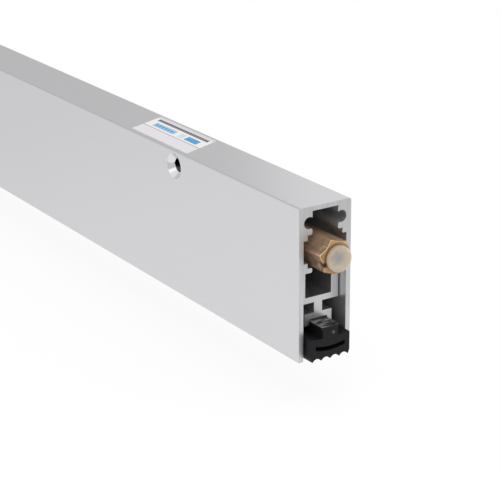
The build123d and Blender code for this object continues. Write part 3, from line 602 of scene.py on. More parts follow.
@dataclass(frozen=True)
class GrainySkin(Finish):
    """A moulded or cast skin, such as black nylon or die-cast zinc: even, with a fine grain."""

    light_colour: str
    # The grain of both moulds is about 0.1 mm wide, and is drawn coarser so that it shows
    grain_mm: float
    relief_mm: float
    broad: float = 6.0
    uneven: float = 0.12

    def detail(self, tree: bpy.types.NodeTree, shader: bpy.types.Node) -> None:
        """Add the grain and a little variation of colour.

        Args:
            tree: The material's node tree.
            shader: Its surface shader.
        """
        spot = self.spot(tree)
        grains = {"Vector": spot, "Scale": 1 / self.grain_mm, "Detail": OCTAVES}
        fine = add_node(tree, "TexNoise", None, grains)
        grains = {"Vector": spot, "Scale": 1 / (self.broad * self.grain_mm), "Detail": OCTAVES}
        broad = add_node(tree, "TexNoise", None, grains)
        layers = {0: broad, 6: linear(self.colour), 7: linear(self.light_colour)}
        add_node(tree, "Mix", {"data_type": "RGBA"}, layers, into=shader.inputs["Base Color"])
        limits = {0: broad, 3: self.roughness, 4: self.roughness + self.uneven}
        add_node(tree, "MapRange", None, limits, into=shader.inputs["Roughness"])
        rise = {"Distance": self.relief_mm * MM, "Height": fine}
        add_node(tree, "Bump", None, rise, into=shader.inputs["Normal"])


@dataclass(frozen=True)
class PrintedBar:
    """A plain bar or row of dashes on the label, by its limits along and across it in mm."""

    colour: str
    left: float
    right: float
    front: float
    back: float
    dash_pitch: float = 0.0


@dataclass(frozen=True)
class CoatedPaper(Finish):
    """Paper label, coated and printed: a smooth white with plain bars of ink on it.

    The bars' places are measured along the front edge from its left end, and across from it.
    Two thirds of each dash's pitch are ink.
    """

    front_left_mm: Point = (86.9, -13.6)
    width_mm: float = 12.1
    slant_mm: float = 5.1
    # Paper fibres are about 0.03 mm wide, and are drawn coarser so that they show
    fibre_mm: float = 0.35
    uneven: float = 0.1
    relief_mm: float = 0.004
    # Colour, left, right, front and back, and the dashes' pitch
    bars: tuple[PrintedBar, ...] = (
        PrintedBar("#DEDBE0", 0.0, 28.3, 0.0, 4.5),
        PrintedBar("#D2CED6", 0.0, 28.3, 10.9, 12.1),
        PrintedBar("#A9A4AE", 0.0, 28.3, 4.6, 5.0),
        PrintedBar("#9CC4DF", 3.0, 14.0, 5.8, 8.3),
        PrintedBar("#4A94C0", 3.6, 13.4, 6.4, 7.7, 1.5),
        PrintedBar("#C4DCDC", 16.0, 18.5, 5.8, 8.3),
        PrintedBar("#3F9ACB", 19.5, 25.5, 5.8, 8.3),
        PrintedBar("#A3A1A5", 1.5, 27.2, 9.3, 10.7),
        PrintedBar("#3E3D40", 1.5, 27.2, 9.4, 10.6, 1.2),
    )

    def detail(self, tree: bpy.types.NodeTree, shader: bpy.types.Node) -> None:
        """Print the bars, some of them as rows of dashes.

        Args:
            tree: The material's node tree.
            shader: Its surface shader.
        """
        start, front = self.front_left_mm
        spot = self.spot(tree)
        place = add_node(tree, "SeparateXYZ", None, {0: spot}).node.outputs
        across = add_node(tree, "Math", {"operation": "SUBTRACT"}, {0: place["Y"], 1: front})
        lean = {0: across, 1: self.slant_mm / self.width_mm, 2: place["X"]}
        upright = add_node(tree, "Math", {"operation": "MULTIPLY_ADD"}, lean)
        along = add_node(tree, "Math", {"operation": "SUBTRACT"}, {0: upright, 1: start})
        paper: Colour | bpy.types.NodeSocket = linear(self.colour)
        for bar in self.bars:
            limits = {0: along, 1: (bar.left + bar.right) / 2, 2: (bar.right - bar.left) / 2}
            ink = add_node(tree, "Math", {"operation": "COMPARE"}, limits)
            limits = {0: across, 1: (bar.front + bar.back) / 2, 2: (bar.back - bar.front) / 2}
            within = add_node(tree, "Math", {"operation": "COMPARE"}, limits)
            ink = add_node(tree, "Math", {"operation": "MULTIPLY"}, {0: ink, 1: within})
            if bar.dash_pitch:
                limits = {0: along, 1: bar.dash_pitch / 2}
                wave = add_node(tree, "Math", {"operation": "PINGPONG"}, limits)
                limits = {0: wave, 1: bar.dash_pitch / 3}
                dash = add_node(tree, "Math", {"operation": "LESS_THAN"}, limits)
                ink = add_node(tree, "Math", {"operation": "MULTIPLY"}, {0: ink, 1: dash})
            layers = {0: ink, 6: paper, 7: linear(bar.colour)}
            paper = add_node(tree, "Mix", {"data_type": "RGBA"}, layers)
        tree.links.new(paper, shader.inputs["Base Color"])
        grains = {"Vector": spot, "Scale": 1 / self.fibre_mm, "Detail": OCTAVES}
        fibres = add_node(tree, "TexNoise", None, grains)
        limits = {0: fibres, 3: self.roughness, 4: self.roughness + self.uneven}
        add_node(tree, "MapRange", None, limits, into=shader.inputs["Roughness"])
        rise = {"Distance": self.relief_mm * MM, "Height": fibres}
        add_node(tree, "Bump", None, rise, into=shader.inputs["Normal"])


# Clear anodised aluminium of the housing: a soft, even light grey
HOUSING_ALUMINIUM = AnodisedExtrusion("anodised_housing", "#D5D5D7", 0.84, 0.4)
# The same on the rail, a little duller from its sliding
RAIL_ALUMINIUM = AnodisedExtrusion(
    "anodised_rail", "#CBCCCE", 0.94, 0.42, bare_colour="#E0E0E1"
)
# Bare aluminium of the rivets, bright where they were peened flush
RIVET_ALUMINIUM = DrawnMetal("peened_aluminium", "#D5D5D6", 1.0, 0.3, stain_and_shade_colour="#B3B4B6")
# Drawn brass bar: its brown tarnish hides a part of the metal's shine
HEX_BRASS = MachinedBrass("drawn_brass", "#E0BC9A", 0.6, 0.34)
# Natural nylon of the plunger's tip: milky and warm
TIP_NYLON = MouldedNylon("natural_nylon", "#B3A592", 0.0, 0.22)
# Black nylon of the rod's guides: matt, with the grain of its mould
GUIDE_NYLON = GrainySkin(
    "black_nylon", "#1B1B1D", 0.0, 0.5, light_colour="#2B2B2E", grain_mm=0.25, relief_mm=0.01
)
# Extruded rubber: near black with a satin skin
STRIP_RUBBER = ExtrudedRubber("extruded_rubber", "#161417", 0.0, 0.65)
# Plated steel of the rod, pins and screws: cool and bright
ROD_STEEL = DrawnMetal("plated_steel", "#A9ABAE", 1.0, 0.28)
# Rolled and plated steel of the link plates, a little duller than the rod
LINK_STEEL = DrawnMetal("plated_plate", "#9FA1A3", 1.0, 0.38, stain_and_shade_colour="#7C7E80")
# Drawn spring wire: a dark skin, with a soft shine
SPRING_WIRE = DrawnMetal("spring_wire", "#6B6B6D", 1.0, 0.3, stain_and_shade_colour="#4A4A4C")
# Die-cast zinc of the blocks and brackets: grey with the grain of the die
BLOCK_ZINC = GrainySkin(
    "cast_zinc", "#7E8083", 0.9, 0.42, light_colour="#939598", grain_mm=0.3, relief_mm=0.008
)
# Coated and printed paper of the label: a smooth, faintly warm white
LABEL_PAPER = CoatedPaper("printed_paper", "#EBE8E5", 0.0, 0.45)


def coat(node: str, finish: Finish) -> None:
    """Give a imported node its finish.

    Args:
        node: The node's name.
        finish: Its finish.
    """
    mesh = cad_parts[node].data
    mesh.materials.clear()
    mesh.materials.append(finish.material())
    LOG.info("%s: packed mesh in %s", node, finish.name)


@dataclass
class Shell:
    """The mesh of a piece while it is being built, in metres."""

    name: str
    corners: list[Point3]
    faces: list[Face]

    def add_ring(self, ring: Sequence[Point3]) -> None:
        """Add a ring of points, joined to the one before it.

        Args:
            ring: The points, as many as in the ring before.
        """
        around = len(ring)
        self.corners += ring
        last = len(self.corners) - around
        if last < around:
            return
        before = last - around
        for turn in range(around):
            after = (turn + 1) % around
            self.faces.append((before + turn, before + after, last + after, last + turn))

    def close(self, around: int) -> None:
        """Close the first and the last ring of a tube.

        Args:
            around: The points in each ring.
        """
        last = len(self.corners) - around
        self.faces.append(tuple(reversed(range(around))))
        self.faces.append(tuple(range(last, last + around)))

    def finish(
        self, finish: Finish, body: Body, stands_for: str, slot: str, smooth_degrees: float
    ) -> bpy.types.Object:
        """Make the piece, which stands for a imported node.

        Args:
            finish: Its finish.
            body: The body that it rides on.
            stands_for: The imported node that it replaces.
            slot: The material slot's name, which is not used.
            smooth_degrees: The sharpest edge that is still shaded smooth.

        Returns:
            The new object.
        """
        mesh = bpy.data.meshes.new(self.name)
        mesh.from_pydata(self.corners, [], self.faces)
        mesh.validate()
        mesh.materials.append(finish.material())
        piece = bpy.data.objects.new(self.name, mesh)
        bpy.context.scene.collection.objects.link(piece)
        mesh.shade_smooth()
        mesh.set_sharp_from_angle(angle=math.radians(smooth_degrees))
        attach(piece, body.value)
        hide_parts(stands_for)
        LOG.info("%s: %d faces on %s", self.name, len(self.faces), body.value)
        return piece


@dataclass(frozen=True)
class RodLine:
    """The centre line of the push rod, which the round pieces are made on."""

    y: float = -7.5
    z: float = 7.4

    def point(self, x: float, radius: float, angle: float) -> Point3:
        """Give a point round the line.

        Args:
            x: The place along the line.
            radius: The distance from it.
            angle: The angle round it, in radians.

        Returns:
            The point, in metres.
        """
        y = self.y + radius * math.cos(angle)
        z = self.z + radius * math.sin(angle)
        return x * MM, y * MM, z * MM

    def ring(self, x: float, radius: float, steps: int) -> list[Point3]:
        """Give a circle round the line, in metres."""
        return [self.point(x, radius, 2 * math.pi * step / steps) for step in range(steps)]


@dataclass(frozen=True)
class Housing:
    """The housing with its label, guides and guide screws."""

    def build(self) -> None:
        """Dress the housing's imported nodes."""
        coat("housing", HOUSING_ALUMINIUM)
        coat("label", LABEL_PAPER)
        for place in Place:
            coat(f"{place.value}_guide", GUIDE_NYLON)
            coat(f"{place.value}_guide_screw", ROD_STEEL)


@dataclass(frozen=True)
class Adjuster:
    """The brass hexagon and the nylon tip in its front."""

    line: RodLine = RodLine()
    rear_x: float = 155.5
    front_x: float = 172.3
    flat_radius: float = 4.0
    edge_round: float = 0.1
    turn_degrees: float = 46.0
    chamfer: float = 0.8
    burr: float = 0.06
    # Rings at a chamfered end: how far down the chamfer, and how many burrs behind it
    end_rings: tuple[Point, ...] = ((1.0, 0.0), (0.5, 0.0), (0.1, 0.0), (0.0, 1.0), (0.0, 3.0))
    # Rings between the ends, by their distance from the front as a share of the length
    middle_rings: tuple[float, ...] = (0.75, 0.5, 0.25)
    rod_bore: float = 2.05
    rod_bore_end_x: float = 166.6
    stem_bore_x: float = 169.0
    bore_chamfer: float = 0.25
    tip_radius: float = 3.25
    tip_rim: float = 1.1
    tip_dome: float = 1.2
    rim_round: float = 0.15
    stem_radius: float = 2.0
    stem_rear_x: float = 169.1
    seat_gap: float = 0.02
    gate_radius: float = 0.35
    gate_depth: float = 0.08
    hex_steps: int = 180
    tip_steps: int = 96
    dome_steps: int = 24

    def hex_radius(self, angle: float) -> float:
        """Give the hexagon's radius, with rounded edges.

        Args:
            angle: The angle round the rod, in radians.

        Returns:
            The radius.
        """
        sharpness = self.flat_radius / self.edge_round
        total = 0.0
        for side in range(6):
            flat = math.radians(self.turn_degrees + 30 + 60 * side)
            total += math.exp(sharpness * max(math.cos(angle - flat), 0.0))
        return self.flat_radius * sharpness / math.log(total)

    def hex_ring(self, depth: float, from_end: float, side: int) -> list[Point3]:
        """Give a ring of the hexagon near one of its chamfered ends.

        Args:
            depth: How far down the chamfer the ring lies, from 0 at its start to 1 at the end.
            from_end: The distance that the ring keeps behind its chamfer.
            side: 1 at the front and -1 at the rear.

        Returns:
            The ring's points, in metres.
        """
        end_x = self.front_x if side > 0 else self.rear_x
        end_radius = self.flat_radius / math.cos(math.pi / 6) - self.chamfer
        ring = []
        for step in range(self.hex_steps):
            angle = 2 * math.pi * step / self.hex_steps
            full = self.hex_radius(angle)
            cut = max(full - end_radius, 0.0)
            back = (1 - depth) * cut + from_end
            ring.append(self.line.point(end_x - side * back, full - depth * cut, angle))
        return ring

    def build_hex(self) -> None:
        """Build the hexagon with its rounded edges, chamfers and bores."""
        shell = Shell("brass_hexagon", [], [])
        steps = self.hex_steps
        shell.add_ring(self.line.ring(self.rod_bore_end_x, self.rod_bore, steps))
        shell.add_ring(self.line.ring(self.rear_x + self.bore_chamfer, self.rod_bore, steps))
        mouth = self.rod_bore + self.bore_chamfer
        shell.add_ring(self.line.ring(self.rear_x, mouth, steps))
        for depth, burrs in self.end_rings:
            shell.add_ring(self.hex_ring(depth, burrs * self.burr, -1))
        length = self.front_x - self.rear_x
        for share in self.middle_rings:
            shell.add_ring(self.hex_ring(0.0, share * length, 1))
        for depth, burrs in reversed(self.end_rings):
            shell.add_ring(self.hex_ring(depth, burrs * self.burr, 1))
        shell.add_ring(self.line.ring(self.front_x, mouth, steps))
        shell.add_ring(self.line.ring(self.front_x - self.bore_chamfer, self.rod_bore, steps))
        shell.add_ring(self.line.ring(self.stem_bore_x, self.rod_bore, steps))
        shell.close(steps)
        shell.finish(HEX_BRASS, Body.ADJUSTER, "adjuster_hex", "brass", smooth_degrees=40)

    def build_tip(self) -> None:
        """Build the domed tip with its stem, rounded rim and gate mark."""
        seat = self.front_x + self.seat_gap
        rim = seat + self.tip_rim
        soft = self.rim_round
        profile: list[Point] = [
            (self.stem_rear_x, self.stem_radius - soft),
            (self.stem_rear_x + soft, self.stem_radius),
            (seat, self.stem_radius),
            (seat, self.tip_radius - soft),
            (seat + soft / 3, self.tip_radius - soft / 3),
            (seat + soft, self.tip_radius),
        ]
        for step in range(self.dome_steps + 1):
            angle = step / self.dome_steps * math.pi / 2
            dome = rim + self.tip_dome * math.sin(angle)
            radius = max(self.tip_radius * math.cos(angle), self.seat_gap)
            if radius < self.gate_radius:
                dome -= self.gate_depth * (1 - (radius / self.gate_radius) ** 2)
            profile.append((dome, radius))
        shell = Shell("nylon_tip", [], [])
        for x, radius in profile:
            shell.add_ring(self.line.ring(x, radius, self.tip_steps))
        shell.close(self.tip_steps)
        shell.finish(TIP_NYLON, Body.TIP, "plunger_tip", "tip_nylon", smooth_degrees=50)

    def build(self) -> None:
        """Build the hexagon and the tip."""
        self.build_hex()
        self.build_tip()


@dataclass(frozen=True)
class PushGear:
    """The push rod with its collar, spring, slide blocks and link arms."""

    line: RodLine = RodLine()
    rod_radius: float = 2.0
    rod_rear_x: float = -120.0
    rod_front_x: float = 163.5
    end_chamfer: float = 0.4
    thread_rear_x: float = 150.2
    thread_pitch: float = 0.7
    thread_depth: float = 0.38
    thread_flank: float = 1.25
    thread_rings: int = 10
    rod_steps: int = 36
    coil_rear_x: float = 129.6
    coil_front_x: float = 145.4
    coil_radius: float = 3.1
    wire_radius: float = 0.4
    free_turns: float = 5.0
    closed_turns: float = 0.9
    wire_rings: int = 260
    wire_steps: int = 12
    # The share of a ring's spacing over which the wire's direction is measured
    wire_probe: float = 0.2
    spring_length: float = 16.0
    push_travel: float = 5.0
    collar_face_x: float = 145.5

    def rod_radius_at(self, x: float, turn: float) -> float:
        """Give the rod's radius, with its thread.

        Args:
            x: The place along the rod.
            turn: The share of a turn round the rod.

        Returns:
            The radius.
        """
        radius = self.rod_radius
        if x > self.thread_rear_x:
            phase = (x / self.thread_pitch - turn) % 1.0
            radius -= self.thread_depth * min(1.0, abs(2 * phase - 1) * self.thread_flank)
        to_end = min(self.rod_front_x - x, x - self.rod_rear_x)
        return min(radius, self.rod_radius - max(0.0, self.end_chamfer - to_end))

    def build_rod(self) -> None:
        """Build the rod with its chamfered ends and the thread that takes the hexagon."""
        rear, front = self.rod_rear_x, self.rod_front_x
        plain = self.thread_rear_x - rear
        stations = [rear, rear + self.end_chamfer, rear + plain / 3, rear + 2 * plain / 3]
        ring_pitch = self.thread_pitch / self.thread_rings
        count = math.ceil((front - self.thread_rear_x) / ring_pitch)
        stations += [self.thread_rear_x + ring * ring_pitch for ring in range(count)]
        stations.append(front)
        shell = Shell("threaded_rod", [], [])
        for x in stations:
            ring = []
            for step in range(self.rod_steps):
                turn = step / self.rod_steps
                radius = self.rod_radius_at(x, turn)
                ring.append(self.line.point(x, radius, 2 * math.pi * turn))
            shell.add_ring(ring)
        shell.close(self.rod_steps)
        shell.finish(ROD_STEEL, Body.PUSH, "push_rod", "steel", smooth_degrees=40)

    def coil_point(self, share: float) -> Vector:
        """Give a point of the spring's centre line.

        Args:
            share: The place along the wire, from 0 to 1.

        Returns:
            The point, in metres.
        """
        turns = self.free_turns + 2 * self.closed_turns
        turn = share * turns
        wire = 2 * self.wire_radius
        low = self.coil_rear_x + self.wire_radius
        high = self.coil_front_x - self.wire_radius
        closed = wire * self.closed_turns
        if turn < self.closed_turns:
            x = low + wire * turn
        elif turn > turns - self.closed_turns:
            x = high - wire * (turns - turn)
        else:
            free = high - low - 2 * closed
            x = low + closed + free * (turn - self.closed_turns) / self.free_turns
        return Vector(self.line.point(x, self.coil_radius, 2 * math.pi * turn))

    def build_spring(self) -> None:
        """Build the return spring with closed ends."""
        shell = Shell("coil_spring", [], [])
        step_share = self.wire_probe / self.wire_rings
        for number in range(self.wire_rings):
            share = number / (self.wire_rings - 1)
            middle = self.coil_point(share)
            before = self.coil_point(max(0.0, share - step_share))
            ahead = (self.coil_point(min(1.0, share + step_share)) - before).normalized()
            axis = Vector((middle.x, self.line.y * MM, self.line.z * MM))
            outward = (middle - axis).normalized()
            side = ahead.cross(outward)
            ring = []
            for step in range(self.wire_steps):
                angle = 2 * math.pi * step / self.wire_steps
                offset = outward * math.cos(angle) + side * math.sin(angle)
                ring.append(tuple(middle + self.wire_radius * MM * offset))
            shell.add_ring(ring)
        shell.close(self.wire_steps)
        spring = shell.finish(
            SPRING_WIRE, Body.PUSH, "return_spring", "spring_steel", smooth_degrees=60
        )
        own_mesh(spring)

    def build(self) -> None:
        """Build the rod and the spring, and dress the blocks, screws, pins and arms."""
        self.build_rod()
        self.build_spring()
        coat("spring_collar", ROD_STEEL)
        coat("collar_screw", ROD_STEEL)
        for place in Place:
            coat(f"{place.value}_slide_block", BLOCK_ZINC)
            coat(f"{place.value}_block_screw", ROD_STEEL)
            coat(f"{place.value}_upper_pin", ROD_STEEL)
            coat(f"{place.value}_lower_pin", ROD_STEEL)
            coat(f"{place.value}_link_room_side", LINK_STEEL)
            coat(f"{place.value}_link_door_side", LINK_STEEL)


def round_corners(
    points: Sequence[Point3], steps: int = 4, most: float = 0.45
) -> list[Point]:
    """Round the corners of a closed outline.

    Args:
        points: Each corner with its radius.
        steps: The pieces of each rounding.
        most: The largest share of an edge that one rounding takes.

    Returns:
        The outline with its roundings.
    """
    outline: list[Point] = []
    count = len(points)
    for index, (x, y, radius) in enumerate(points):
        corner = Vector((x, y))
        if radius <= 0:
            outline.append((x, y))
            continue
        before = Vector(points[index - 1][:2]) - corner
        after = Vector(points[(index + 1) % count][:2]) - corner
        reach = min(radius, before.length * most, after.length * most)
        start = corner + before.normalized() * reach
        end = corner + after.normalized() * reach
        for step in range(steps + 1):
            t = step / steps
            spot = start * (1 - t) ** 2 + corner * (2 * t * (1 - t)) + end * t**2
            outline.append((spot.x, spot.y))
    return outline


def inset(outline: Sequence[Point], depth: float) -> list[Point]:
    """Move a closed outline inwards, or a hole's outwards, by its own winding.

    Args:
        outline: The points, anticlockwise for a solid and clockwise for a hole.
        depth: The distance.

    Returns:
        The moved points.
    """
    moved: list[Point] = []
    count = len(outline)
    for index, point in enumerate(outline):
        before = Vector(point) - Vector(outline[index - 1])
        after = Vector(outline[(index + 1) % count]) - Vector(point)
        along = (before.normalized() + after.normalized()).normalized()
        moved.append((point[0] - along.y * depth, point[1] + along.x * depth))
    return moved


@dataclass(frozen=True)
class SealStrip:
    """The rubber strip, drawn as a section: across from the middle, up from the bottom."""

    half_length: float = 170.05
    middle_y: float = -7.5
    bottom_z: float = -19.5
    half_width: float = 5.7
    bottom: float = 0.4
    shoulder: float = 6.3
    shoulder_dip: float = 0.3
    bevel: float = 1.1
    ridges: int = 5
    ridge_margin: float = 0.44
    valley: float = 0.75
    valley_steps: int = 8
    neck_half: float = 2.25
    neck_top: float = 8.1
    head_half: float = 2.6
    head_bottom: float = 8.5
    head_top: float = 8.9
    ridge_round: float = 0.1
    side_round: float = 0.3
    neck_round: float = 0.12
    head_round: float = 0.15
    slot_height: float = 1.103
    slot_half: float = 4.3
    slot_floor: float = 2.651
    slot_sag: float = 0.59
    slot_corner: float = 0.35
    slot_steps: int = 12
    edge: float = 0.08
    stations: int = 60

    def outline(self) -> list[Point]:
        """Draw the outside of the section, anticlockwise from the lowest left ridge.

        Returns:
            The points.
        """
        tips_half = self.half_width - self.ridge_margin
        pitch = 2 * tips_half / (self.ridges - 1)
        corners: list[Point3] = []
        for ridge in range(self.ridges):
            tip = ridge * pitch - tips_half
            corners.append((tip, self.bottom, self.ridge_round))
            if ridge < self.ridges - 1:
                for step in range(1, self.valley_steps):
                    share = step / self.valley_steps
                    dip = self.valley * (1 - (2 * share - 1) ** 2)
                    corners.append((tip + pitch * share, self.bottom + dip, 0.0))
        width, head, neck = self.half_width, self.head_half, self.neck_half
        right = [
            (width, self.bottom + self.bevel, self.side_round),
            (width, self.shoulder, self.side_round),
            (neck, self.shoulder - self.shoulder_dip, self.side_round),
            (neck, self.neck_top, self.neck_round),
            (head, self.head_bottom, self.neck_round),
            (head, self.head_top, self.head_round),
        ]
        left = [(-across, up, radius) for across, up, radius in reversed(right)]
        return round_corners(corners + right + left)

    def slot(self) -> list[Point]:
        """Draw the sagging slot of the cushion, clockwise.

        Returns:
            The points.
        """
        shares = [step / self.slot_steps for step in range(-self.slot_steps, self.slot_steps + 1)]
        roof = self.slot_floor + self.slot_height
        upper = [(self.slot_half * s, roof + self.slot_sag * s * s) for s in shares]
        lower = [(self.slot_half * s, self.slot_floor + self.slot_sag * s * s) for s in shares]
        ends = (0, len(shares) - 1)
        closed = [
            (across, up, self.slot_corner if index in ends else 0.0)
            for row in (upper, lower[::-1])
            for index, (across, up) in enumerate(row)
        ]
        return round_corners(closed)

    def build(self) -> None:
        """Build the strip along the rail, with softened edges at its cut ends."""
        reach = self.half_length
        stations = [(-reach, self.edge), (-reach + self.edge, 0.0)]
        stations += [
            (-reach + 2 * reach * step / self.stations, 0.0) for step in range(1, self.stations)
        ]
        stations += [(reach - self.edge, 0.0), (reach, self.edge)]
        loops = [self.outline(), self.slot()]
        whole = Shell("rubber_strip", [], [])
        starts = []
        for loop in loops:
            wall = Shell("wall", [], [])
            for x, depth in stations:
                ring = inset(loop, depth) if depth else loop
                wall.add_ring([self.place(x, point) for point in ring])
            start = len(whole.corners)
            starts.append(start)
            whole.corners += wall.corners
            whole.faces += [tuple(start + corner for corner in face) for face in wall.faces]
        ends = [[Vector((*point, 0)) for point in inset(loop, self.edge)] for loop in loops]
        outer = len(loops[0])
        last_station = len(stations) - 1
        for triangle in tessellate_polygon(ends):
            near, far = [], []
            for number in triangle:
                which = 0 if number < outer else 1
                near.append(starts[which] + number - which * outer)
                far.append(near[-1] + last_station * len(loops[which]))
            whole.faces += [tuple(reversed(near)), tuple(far)]
        whole.finish(STRIP_RUBBER, Body.CARRIER, "seal_strip", "rubber", smooth_degrees=35)

    def place(self, x: float, point: Point) -> Point3:
        """Give a point of the section at x, in metres."""
        return x * MM, (self.middle_y + point[0]) * MM, (self.bottom_z + point[1]) * MM


@dataclass(frozen=True)
class Carrier:
    """The rail that drops out of the housing, with its brackets, rivets and rubber."""

    strip: SealStrip = SealStrip()

    def build(self) -> None:
        """Build the strip, and dress the rail, brackets and rivets."""
        self.strip.build()
        coat("carrier_rail", RAIL_ALUMINIUM)
        for place in Place:
            coat(f"{place.value}_bracket", BLOCK_ZINC)
            coat(f"{place.value}_bracket_rivets", RIVET_ALUMINIUM)


@dataclass(frozen=True)
class Lamp:
    """A soft square studio lamp, in metres and watts."""

    name: str
    place: Point3
    target: Point3
    side: float
    power: float

    def build(self) -> None:
        """Hang the lamp and aim it."""
        light = bpy.data.lights.new(self.name, "AREA")
        light.shape = "SQUARE"
        light.size = self.side
        light.energy = self.power
        hung = bpy.data.objects.new(self.name, light)
        hung.location = self.place
        aim = Vector(self.target) - Vector(self.place)
        hung.rotation_mode = "QUATERNION"
        hung.rotation_quaternion = aim.to_track_quat("-Z", "Y")
        hung.visible_camera = False
        bpy.context.scene.collection.objects.link(hung)


@dataclass(frozen=True)
class GreyCard:
    """A soft grey patch of the room that only glossy surfaces show.

    It is at its darkest within the inner angle from its direction, and gone past the outer one.
    """

    towards: Point3
    inner_degrees: float
    outer_degrees: float
    darkness: float


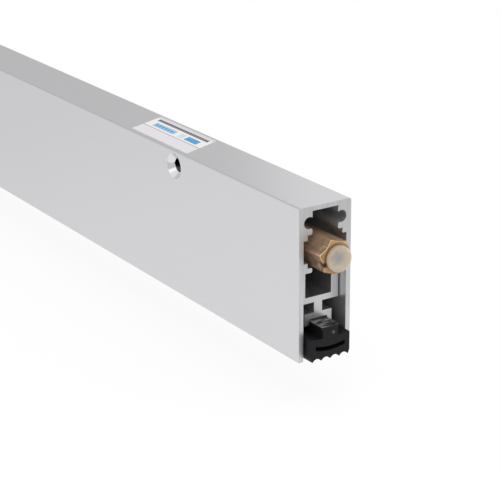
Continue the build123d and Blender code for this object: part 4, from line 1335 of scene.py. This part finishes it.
@dataclass(frozen=True)
class Studio:
    """The white floor, soft light and camera, in metres.

    The floor lies where the rubber lands when the rail drops, as under a real door.
    """

    floor_z: float = -0.0308
    floor_radius: float = 2.5
    floor_steps: int = 64
    # The room's light on matt surfaces, and the share of the floor's white that is its own glow
    ambient: float = 0.9
    glow: float = 0.88
    # The floor that glossy surfaces show: greyer at its far end, past the near end and in a patch
    far_x: Point = (-0.2, 0.12)
    far_grey: float = 0.8
    past_x: Point = (0.21, 0.275)
    past_grey: float = 0.66
    patch_at: Point3 = (0.18, -0.12, -0.0308)
    patch_radius: float = 0.045
    patch_grey: float = 0.08
    eye: Point3 = (0.470138, -0.226850, 0.145823)
    right: Point3 = (0.549923, 0.835186, -0.006977)
    up: Point3 = (-0.285601, 0.195889, 0.938115)
    back: Point3 = (0.784868, -0.513898, 0.346254)
    lens: float = 121.43
    clip: Point = (0.01, 20.0)
    # The first four give the metal its darker sides, and the last two stand behind the lamps
    cards: tuple[GreyCard, ...] = (
        GreyCard((-0.93, 0.30, 0.20), 12.0, 60.0, 0.42),
        GreyCard((-0.785, 0.05, 0.61), 5.0, 22.0, 0.25),
        GreyCard((0.66, -0.70, 0.28), 25.0, 60.0, 0.3),
        GreyCard((0.86, 0.0, 0.50), 25.0, 50.0, 0.2),
        GreyCard((0.46, 0.86, 0.22), 12.0, 45.0, 0.45),
        GreyCard((0.55, 0.45, 0.70), 20.0, 50.0, 0.15),
    )
    lamps: tuple[Lamp, ...] = (
        Lamp("key_lamp", (0.55, -0.75, 0.95), (0.08, 0.0, 0.0), 1.2, 2.4),
        Lamp("near_end_lamp", (0.42, 0.30, 0.45), (0.14, 0.0, 0.0), 0.6, 0.5),
        Lamp("tip_lamp", (0.25, 0.48, 0.06), (0.17, -0.0075, 0.0074), 0.26, 0.35),
        Lamp("roof_lamp", (0.0455, 0.095, 0.089), (0.17, -0.0075, 0.0195), 0.06, 0.006),
    )

    def build_world(self) -> None:
        """Fill the room with even light, a white background and the grey cards."""
        world = bpy.data.worlds.new("studio")
        bpy.context.scene.world = world
        world.use_nodes = True
        tree = world.node_tree
        tree.nodes.clear()
        path = add_node(tree, "LightPath").node.outputs
        towards = add_node(tree, "TexCoord").node.outputs["Generated"]
        smooth = {"interpolation_type": "SMOOTHSTEP"}
        shine: float | bpy.types.NodeSocket = 1.0
        for card in self.cards:
            aim = Vector(card.towards).normalized()
            near = add_node(tree, "VectorMath", {"operation": "DOT_PRODUCT"}, {0: towards, 1: aim})
            outer = math.cos(math.radians(card.outer_degrees))
            inner = math.cos(math.radians(card.inner_degrees))
            limits = {0: near, 1: outer, 2: inner, 3: 1.0, 4: 1.0 - card.darkness}
            light = add_node(tree, "MapRange", smooth, limits)
            shine = add_node(tree, "Math", {"operation": "MULTIPLY"}, {0: shine, 1: light})
        rays = {0: path["Is Camera Ray"], 1: path["Is Transmission Ray"]}
        clear = add_node(tree, "Math", {"operation": "MAXIMUM"}, rays)
        levels = {0: path["Is Glossy Ray"], 2: self.ambient, 3: shine}
        indoors = add_node(tree, "Mix", {"data_type": "FLOAT"}, levels)
        levels = {0: clear, 2: indoors, 3: 1.0}
        level = add_node(tree, "Mix", {"data_type": "FLOAT"}, levels)
        sky = {"Color": WHITE, "Strength": level}
        light = add_node(tree, "Background", None, sky)
        add_node(tree, "OutputWorld", None, {0: light})

    def floor_material(self) -> bpy.types.Material:
        """Make the floor's matt white, which keeps the shadow.

        Returns:
            The material.
        """
        made = bpy.data.materials.new("white_floor")
        made.use_nodes = True
        tree = made.node_tree
        tree.nodes.clear()
        path = add_node(tree, "LightPath").node.outputs
        place = add_node(tree, "TexCoord").node.outputs["Object"]
        along = add_node(tree, "SeparateXYZ", None, {0: place})
        smooth = {"interpolation_type": "SMOOTHSTEP"}
        start, end = self.far_x
        limits = {0: along, 1: start, 2: end, 3: self.far_grey, 4: 1.0}
        shine = add_node(tree, "MapRange", smooth, limits)
        start, end = self.past_x
        limits = {0: along, 1: start, 2: end, 3: 1.0, 4: self.past_grey}
        past = add_node(tree, "MapRange", smooth, limits)
        middle = {0: place, 1: self.patch_at}
        apart = add_node(tree, "VectorMath", {"operation": "DISTANCE"}, middle)
        start, end = self.patch_radius / 2, self.patch_radius
        limits = {0: apart, 1: start, 2: end, 3: self.patch_grey, 4: 1.0}
        patch = add_node(tree, "MapRange", smooth, limits)
        for share in (past, patch):
            shine = add_node(tree, "Math", {"operation": "MULTIPLY"}, {0: shine, 1: share})
        levels = {0: path["Is Glossy Ray"], 2: 1.0, 3: shine}
        shown = add_node(tree, "Mix", {"data_type": "FLOAT"}, levels)
        matt = add_node(tree, "BsdfDiffuse", None, {"Color": WHITE})
        lit = add_node(tree, "Emission", None, {"Color": WHITE, "Strength": shown})
        lifted = add_node(tree, "MixShader", None, {0: self.glow, 1: matt, 2: lit})
        seen = path["Is Camera Ray"]
        for name in ("Is Glossy Ray", "Is Transmission Ray"):
            seen = add_node(tree, "Math", {"operation": "MAXIMUM"}, {0: seen, 1: path[name]})
        both = add_node(tree, "MixShader", None, {0: seen, 1: matt, 2: lifted})
        add_node(tree, "OutputMaterial", None, {0: both})
        return made

    def build_floor(self) -> None:
        """Lay the round floor under the part."""
        corners = []
        for step in range(self.floor_steps):
            angle = 2 * math.pi * step / self.floor_steps
            x, y = self.floor_radius * math.cos(angle), self.floor_radius * math.sin(angle)
            corners.append((x, y, self.floor_z))
        mesh = bpy.data.meshes.new("floor")
        mesh.from_pydata(corners, [], [tuple(range(self.floor_steps))])
        mesh.materials.append(self.floor_material())
        floor = bpy.data.objects.new("floor", mesh)
        bpy.context.scene.collection.objects.link(floor)

    def build_camera(self) -> None:
        """Set the camera where the photograph was taken from."""
        camera = bpy.data.cameras.new("camera")
        camera.lens = self.lens
        camera.clip_start, camera.clip_end = self.clip
        stand = bpy.data.objects.new("camera", camera)
        rotation = Matrix((self.right, self.up, self.back)).transposed()
        stand.matrix_world = Matrix.Translation(self.eye) @ rotation.to_4x4()
        bpy.context.scene.collection.objects.link(stand)
        bpy.context.scene.camera = stand

    def build(self) -> None:
        """Build the world, floor, lamps and camera."""
        bpy.context.scene.view_settings.view_transform = "Standard"
        self.build_world()
        self.build_floor()
        for lamp in self.lamps:
            lamp.build()
        self.build_camera()


def main() -> None:
    """Build every sub-assembly in order and report it."""
    logging.basicConfig(level=logging.INFO, format="%(name)s: %(message)s")
    for part in (Studio(), Housing(), Adjuster(), PushGear(), Carrier()):
        part.build()
        LOG.info("%s is built", type(part).__name__)


if __name__ == "__main__":
    main()
